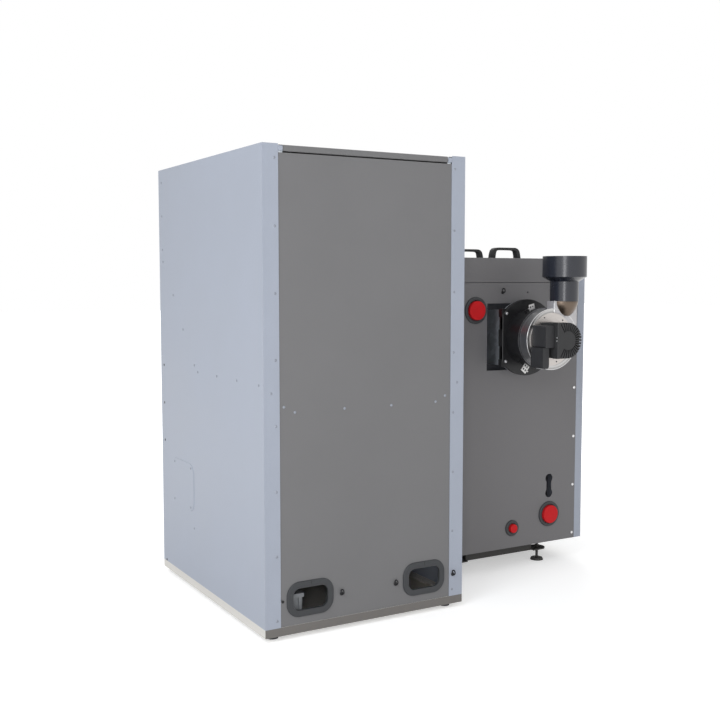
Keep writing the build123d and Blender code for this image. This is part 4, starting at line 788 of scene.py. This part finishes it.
face_screw = pan_screw("face_screw_model", face_screw_radius)
face_places = [face_point(angle) for angle in FACE_SCREW_ANGLES]
face_screws = copies(face_screw, "fan_face_screws", all_facing(face_places, BACKWARDS))
fit(face_screws, "body", recess_dark)
discard(face_screw)


# Fan: flange of its housing, with its nuts, slit and clips

def fan_flange_plate():
    """Flange of the fan's housing: a disc with a squared side and three tabs towards the duct's opening."""
    flat, radius, thickness, back_level = 0.1095, 0.1365, 0.0105, 0.0640
    plate = round_bar("fan_flange_plate", radius, thickness, sides=96, base=back_level)
    edit_faces(plate, lambda face: face.normal.x > 0.5 and face.calc_center_median().x > flat)
    bpy.ops.transform.resize(value=(0.0, 1.0, 1.0), center_override=(flat, 0, 0))
    edit_faces(plate, faces_up)
    inset(0.0015, 0.0012)
    finished(plate, 35.0)
    face_out(plate)
    root = -60
    square = (-109.5, -103, 103, 56.5)
    tabs = ((-112.5, 75, 104, 56), (-112.5, -29, 30, 56), (-112.5, -99, -76, 56))
    parts = [plate]
    for edge, bottom, top, back in (square, *tabs):
        parts.append(block("tab", fan_point(root, bottom, back), fan_point(edge, top, FLANGE_FACE)))
    return finished(joined("fan_flange_plate", parts), 35.0)


def dome_nut():
    """Domed nut on a washer."""
    washer_radius, washer_thickness, washer_brim, shank = 0.0076, 0.0012, 0.0018, 0.0035
    nut = round_bar("dome_nut_model", washer_radius, washer_thickness, sides=32)
    edit_faces(nut, faces_up)
    inset(washer_brim, 0.0)
    grow(0.0, shank)
    dome = ((-0.0006, 0.0013), (-0.0014, 0.0012), (-0.0018, 0.0007))
    for step, rise in dome:
        grow(step, rise)
    return finished(nut, 50.0)


def clip_lever(name):
    """Lever plate of a clip, with four windows."""
    wide, tall, thickness, cells = 0.025, 0.033, 0.0022, 5
    clear()
    bpy.ops.mesh.primitive_grid_add(x_subdivisions=cells, y_subdivisions=cells, size=1)
    plate = bpy.context.object
    plate.name = name
    plate.scale = (wide, tall, 1.0)
    settle()
    across, up = wide / cells, tall / cells
    edit_faces(plate, lambda face: abs(abs(face.calc_center_median().x) - across) < 0.001
               and abs(abs(face.calc_center_median().y) - up) < 0.001)
    bpy.ops.mesh.delete(type="FACE")
    bpy.ops.object.mode_set(mode="OBJECT")
    thick = plate.modifiers.new("thickness", "SOLIDIFY")
    thick.thickness = thickness
    thick.offset = 0.0
    bpy.ops.object.modifier_apply(modifier="thickness")
    soft = plate.modifiers.new("edges", "BEVEL")
    soft.width = 0.0005
    soft.segments = 2
    bpy.ops.object.modifier_apply(modifier="edges")
    return plate


def clip_plate(name, across, up, turn):
    """Over-centre clip: its lever, the barrel, the pivot and the wire hook."""
    lying, hooked = (0, math.radians(90), 0), (math.radians(62), 0, 0)
    barrel = (0.0022, 0.030, (0.0, 0.018, 0.0), lying)
    pivot = (0.0026, 0.007, (0.014, -0.004, 0.0), lying)
    wire = (0.0011, 0.030, (-0.006, 0.024, -0.003), hooked)
    parts = [clip_lever(name)]
    for radius, length, place, turned in (barrel, pivot, wire):
        rod = round_bar("rod", radius, length, sides=16, base=-length / 2)
        rod.rotation_euler = turned
        rod.location = place
        settle()
        parts.append(rod)
    clip = joined(name, parts)
    pick(clip)
    clip.rotation_euler = (math.radians(-90), math.radians(turn), 0)
    clip.location = fan_point(across, up, CLIP_OUT)
    settle()
    return finished(clip, 40.0)


fit(fan_flange_plate(), "body", looks["housing_black"])

nut_model = dome_nut()
nut_spots = ((-93.7, 87.5), (-97, -82), (92, 84), (92, -84))
nut_places = [fan_point(across, up, FLANGE_FACE) for across, up in nut_spots]
nuts = copies(nut_model, "flange_dome_nuts", all_facing(nut_places, BACKWARDS))
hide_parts("flange_bolts")
fit(nuts, "body", looks["pins_steel"])
discard(nut_model)

upper_clip = clip_plate("upper_clip", -40, 105, 14)
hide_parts("fan_clip_upper")
fit(upper_clip, "clip_upper", looks["clip_bright"])
lower_clip = clip_plate("lower_clip", -67, -101, 142)
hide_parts("fan_clip_lower")
fit(lower_clip, "clip_lower", looks["clip_bright"])

slit_corner, slit_opposite = fan_point(8, 118.6, 75.4), fan_point(-36, 121.6, 75.9)
slit = small_plate("flange_slit", slit_corner, slit_opposite, 0.0006, -0.0003)
fit(slit, "body", recess_dark)


# Motor cap: two screws on its side and three vents on its face

cap_screw_out, cap_screw_levels = 0.290, (0.0105, -0.0005)
vent_inset, vent_levels = 0.0032, (0.0129, 0.0025, -0.0079)

cap_screw = pan_screw("cap_screw_model", cap_screw_radius)
cap_places = [Vector((cap_corner.x, boiler_back + cap_screw_out, fan_z + up)) for up in cap_screw_levels]
cap_screws = copies(cap_screw, "motor_cap_screws", all_facing(cap_places, OUTWARDS))
fit(cap_screws, "body", screw_metal)

vent_model = punched_hole("vent_model", vent_radius)
vent_places = [Vector((cap_corner.x - vent_inset, cap_corner.y, fan_z + up)) for up in vent_levels]
cap_vents = copies(vent_model, "motor_cap_vents", all_facing(vent_places, BACKWARDS))
fit(cap_vents, "body", recess_dark)
discard(cap_screw, vent_model)


# Rear cover between the side panels, whose flanges run on to its top

sheet = 0.002
cover_seam = 0.0016
cover_side_gap = 0.003
skirt_gap = 0.0008
cover_edge, side_edge = 0.0014, 0.0006


def rear_cover_shell():
    """Lift-off cover: a folded tray, open underneath, with its rear skirt between the flanges."""
    floor_level = cover_low.z + cover_seam
    tray = block("rear_cover_shell", (boiler_left + cover_side_gap, cover_low.y, floor_level),
                 (boiler_right - cover_side_gap, boiler_back - 2 * sheet, boiler_top))
    edit_faces(tray, faces_down)
    inset(sheet)
    inset(0.0, floor_level + sheet - boiler_top)
    finished(tray)
    skirt = block("skirt", (boiler_left + flange_width + skirt_gap, boiler_back - 2 * sheet, floor_level),
                  (boiler_right - flange_width - skirt_gap, boiler_back, boiler_top))
    cover = joined("rear_cover_shell", [tray, skirt])
    edit_edges(cover, lambda edge: min(v.co.z for v in edge.verts) > boiler_top - 0.0001)
    bpy.ops.mesh.bevel(offset=cover_edge, segments=3, profile=0.5)
    return finished(cover, 35.0)


def side_top(name, edge, inward):
    """Upper end of a boiler side panel beside the rear cover: its wall and its rear flange."""
    wall_edges = sorted((edge, edge + inward * sheet))
    flange_edges = sorted((edge, edge + inward * flange_width))
    wall = block(name, (wall_edges[0], cover_low.y, cover_low.z), (wall_edges[1], boiler_back, boiler_top))
    flange = block("flange", (flange_edges[0], boiler_back - sheet, cover_low.z),
                   (flange_edges[1], boiler_back, boiler_top))
    top = joined(name, [wall, flange])
    edit_edges(top, upright)
    bpy.ops.mesh.bevel(offset=side_edge, segments=2, profile=0.5)
    return finished(top, 35.0)


cover = rear_cover_shell()
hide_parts("rear_cover")
fit(cover, "rear_cover", boiler_grey)
fit(side_top("boiler_side_top_outer", boiler_left, 1), "body", looks["casing_light"])
fit(side_top("boiler_side_top_inner", boiler_right, -1), "body", looks["casing_light"])


# Handles of the rear cover

handle_depth = 0.024
foot_outer, foot_inner = 66.5, 50.5


def handle_half():
    """Half of a moulded bridge handle, swept from its foot on Z = 0 over the shoulder to X = 0."""
    half = block("bridge_handle", (-foot_outer / 1000, -handle_depth / 2, 0.0),
                 (-foot_inner / 1000, handle_depth / 2, 0.0005))
    edit_faces(half, faces_up)
    leg = ((-57.0, 12.0, 84, 15.6), (-55.2, 20.0, 78, 15.0))
    shoulder = ((-53.0, 26.5, 62, 14.0), (-48.8, 31.5, 40, 12.2), (-42.5, 34.3, 18, 10.6))
    grip = ((-35.0, 35.2, 4, 9.6), (0.0, 35.4, 0, 9.2))
    for x, z, slope, thick in leg + shoulder + grip:
        bpy.ops.mesh.extrude_region_move()
        mesh = bmesh.from_edit_mesh(half.data)
        corners = sorted((v for v in mesh.verts if v.select), key=lambda v: (v.co.x - v.co.z, v.co.y))
        tilt = math.radians(slope)
        for k, corner in enumerate(corners):
            side = thick / 2 if k < 2 else -thick / 2
            corner.co.x = (x - side * math.sin(tilt)) / 1000
            corner.co.z = (z + side * math.cos(tilt)) / 1000
        bmesh.update_edit_mesh(half.data)
    bpy.ops.mesh.delete(type="FACE")
    bpy.ops.object.mode_set(mode="OBJECT")
    return half


def bridge_handle():
    """The handle made whole about its middle, with its long edges rounded."""
    handle = handle_half()
    other = handle.modifiers.new("other half", "MIRROR")
    other.use_clip = True
    bpy.ops.object.modifier_apply(modifier="other half")
    soft = handle.modifiers.new("edges", "BEVEL")
    soft.width = 0.003
    soft.segments = 3
    soft.limit_method = "ANGLE"
    soft.angle_limit = math.radians(50)
    bpy.ops.object.modifier_apply(modifier="edges")
    return finished(handle, 50.0)


handle_model = bridge_handle()
handle_middle = (handles_low.x + handles_high.x) / 2
handle_rows = (handles_low.y + handle_depth / 2, handles_high.y - handle_depth / 2)
handle_places = [Vector((handle_middle, y, handles_low.z)) for y in handle_rows]
handle_pair = copies(handle_model, "moulded_cover_handles", all_facing(handle_places, UPWARDS))
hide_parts("cover_handles")
fit(handle_pair, "rear_cover", looks["handle_black"])
discard(handle_model)


# Cable anchors: a button with a stalk and the eye for a cable tie

anchor_radius = 0.007
cabinet_anchors = ((0.258, rear_face), (0.453, rear_face), (0.672, cabinet_back))
boiler_anchor_inset, boiler_anchor_level = 0.244, anchors_high.z - anchor_radius


def cable_anchor():
    """Push-in anchor with its eye above the stalk."""
    button_radius, button_rise = 0.0058, 0.0022
    eye_radius, eye_thickness, eye_middle = 0.0062, 0.0036, (-0.001, 0.0072, 0.0082)
    button = round_bar("anchor_model", button_radius, button_rise, sides=24)
    edit_faces(button, faces_up)
    chamfer, shoulder, stalk = (0.0008, 0.0006), (0.0022, 0.0), (0.0, 0.0052)
    for width, rise in (chamfer, shoulder, stalk):
        inset(width, rise)
    finished(button, 45.0)
    eye = ring("eye", eye_radius, eye_thickness, eye_middle, 28, 10)
    eye.scale = (1.0, 1.2, 1.2)
    eye.rotation_euler = (0, math.radians(-75), 0)
    settle()
    return finished(joined("anchor_model", [button, eye]), 45.0)


anchor_model = cable_anchor()
anchor_places = [Vector((casing_right - x, y, anchors_low.z + anchor_radius)) for x, y in cabinet_anchors]
anchor_places.append(Vector((boiler_right - boiler_anchor_inset, boiler_back, boiler_anchor_level)))
anchors = copies(anchor_model, "cable_tie_anchors", all_facing(anchor_places, BACKWARDS))
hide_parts("cable_anchors")
fit(anchors, "body", looks["anchor_nylon"])
discard(anchor_model)


# Rear ends of the lid's hinge

hinge_near, hinge_far = 0.0517, 0.0655
hinge_root = lid_high.y - 0.0006
# The thin dark strip above each hinge end is painted shadow, the shade cast by the lid's edge.
hinge_foot, shadow_strip_bottom, shadow_strip_top = lid_low.z + 0.0008, lid_high.z - 0.0022, lid_high.z - 0.0004
hinge_spans = ((casing_right - hinge_far, casing_right - hinge_near),
               (casing_left + hinge_near, casing_left + hinge_far))


def hinge_parts(name, bottom, top, proud, edge):
    """One small plate at each end of the lid, standing proud of its rear edge."""
    plates = [small_plate("end", (low, hinge_root, bottom), (high, lid_high.y + proud, top), edge, edge)
              for low, high in hinge_spans]
    return joined(name, plates)


hinge_ends = hinge_parts("lid_hinge_ends", hinge_foot, shadow_strip_bottom, 0.0008, 0.0004)
fit(hinge_ends, "lid", looks["casing_light"])
# Painted shadow: a dark plate on top of each hinge end stands in for the shade under the lid's edge.
hinge_shadow_strips = hinge_parts("lid_hinge_shadow_strips", shadow_strip_bottom, shadow_strip_top, 0.0010, 0.0003)
fit(hinge_shadow_strips, "lid", recess_dark)


# Joints of the port trims

joint_width = 0.0018
joint_bottom, joint_top = trim_high.z - 0.0135, trim_high.z - 0.0012
joint_root, joint_face = trim_high.y - 0.0004, trim_high.y + 0.0001
joint_columns = (trim_high.x - 0.0813, trim_low.x + 0.079)

joints = []
for x in joint_columns:
    corner = (x - joint_width / 2, joint_root, joint_bottom)
    opposite = (x + joint_width / 2, joint_face, joint_top)
    joints.append(small_plate("joint", corner, opposite, 0.0001, 0.0001))
fit(joined("trim_joints", joints), "body", recess_dark)


# Camera at the photograph's viewing angle

camera = bpy.data.objects.new("camera", bpy.data.cameras.new("camera"))
bpy.context.scene.collection.objects.link(camera)
camera.location = (1.94235, 3.12925, 1.0788)
camera.rotation_euler = Vector((-0.4974, -0.8638, -0.0801)).to_track_quat("-Z", "Y").to_euler()
camera.data.lens = 50.78
camera.data.sensor_width = 36.0
bpy.context.scene.camera = camera


# Floor, world and studio lights

ambient_light = 0.62


def seen_background(tree):
    """1 for the rays that should see the white background, 0 for the others."""
    path = node(tree, "LightPath").outputs
    camera_or_glossy = sum_up(tree, "MAXIMUM", path["Is Camera Ray"], path["Is Glossy Ray"])
    return sum_up(tree, "MAXIMUM", camera_or_glossy, path["Is Transmission Ray"])


def studio_world(ambient):
    """An even white surround: full white to the camera and to gloss, ambient to diffuse light."""
    world = bpy.data.worlds.new("studio")
    world.use_nodes = True
    tree = world.node_tree
    background = tree.nodes["Background"]
    background.inputs["Color"].default_value = (1.0, 1.0, 1.0, 1.0)
    strength = spread(tree, seen_background(tree), ambient, 1.0, 0.0, 1.0)
    link(tree, strength, background.inputs["Strength"])
    bpy.context.scene.world = world


def floor_material():
    """Pale floor that keeps the shadow near the object and is white to the camera further out."""
    material = bpy.data.materials.new("studio_floor")
    material.use_nodes = True
    tree = material.node_tree
    shader = tree.nodes["Principled BSDF"]
    shader.inputs["Base Color"].default_value = (0.8, 0.795, 0.785, 1.0)
    shader.inputs["Roughness"].default_value = 0.9
    shader.inputs["Specular IOR Level"].default_value = 0.0
    shader.inputs["Emission Color"].default_value = (1.0, 1.0, 1.0, 1.0)
    far = node(tree, "VectorMath", operation="LENGTH")
    link(tree, object_place(tree), far.inputs[0])
    glow = spread(tree, far.outputs["Value"], 0.45, 1.0, 0.9, 2.6)
    link(tree, times(tree, glow, seen_background(tree)), shader.inputs["Emission Strength"])
    return material


def softbox(name, place, aim, size, power, tint=(1.0, 1.0, 1.0), tall=None):
    """An area light that looks at a point, square unless its height is given too."""
    light = bpy.data.lights.new(name, "AREA")
    light.shape = "RECTANGLE"
    light.size = size
    light.size_y = tall or size
    light.energy = power
    light.color = tint
    lamp = bpy.data.objects.new(name, light)
    bpy.context.scene.collection.objects.link(lamp)
    lamp.location = place
    lamp.rotation_euler = (Vector(aim) - Vector(place)).to_track_quat("-Z", "Y").to_euler()


clear()
bpy.ops.mesh.primitive_plane_add(size=60.0, location=(0, 0, 0))
floor = bpy.context.object
floor.name = "floor"
floor.data.materials.append(floor_material())
studio_world(ambient_light)

softbox("key", (4.2, 2.4, 3.6), (0.2, 0.0, 0.7), 2.6, 112.0, (0.88, 0.93, 1.0))
softbox("rear_strip", (2.35, 3.62, 1.25), (-0.3, 0.2, 0.9), 0.8, 44.0, (0.98, 0.98, 1.0), tall=2.4)
softbox("front_fill", (-2.8, -3.8, 3.0), (0.0, 0.0, 0.7), 2.6, 70.0)

bpy.context.scene.view_settings.view_transform = "Standard"
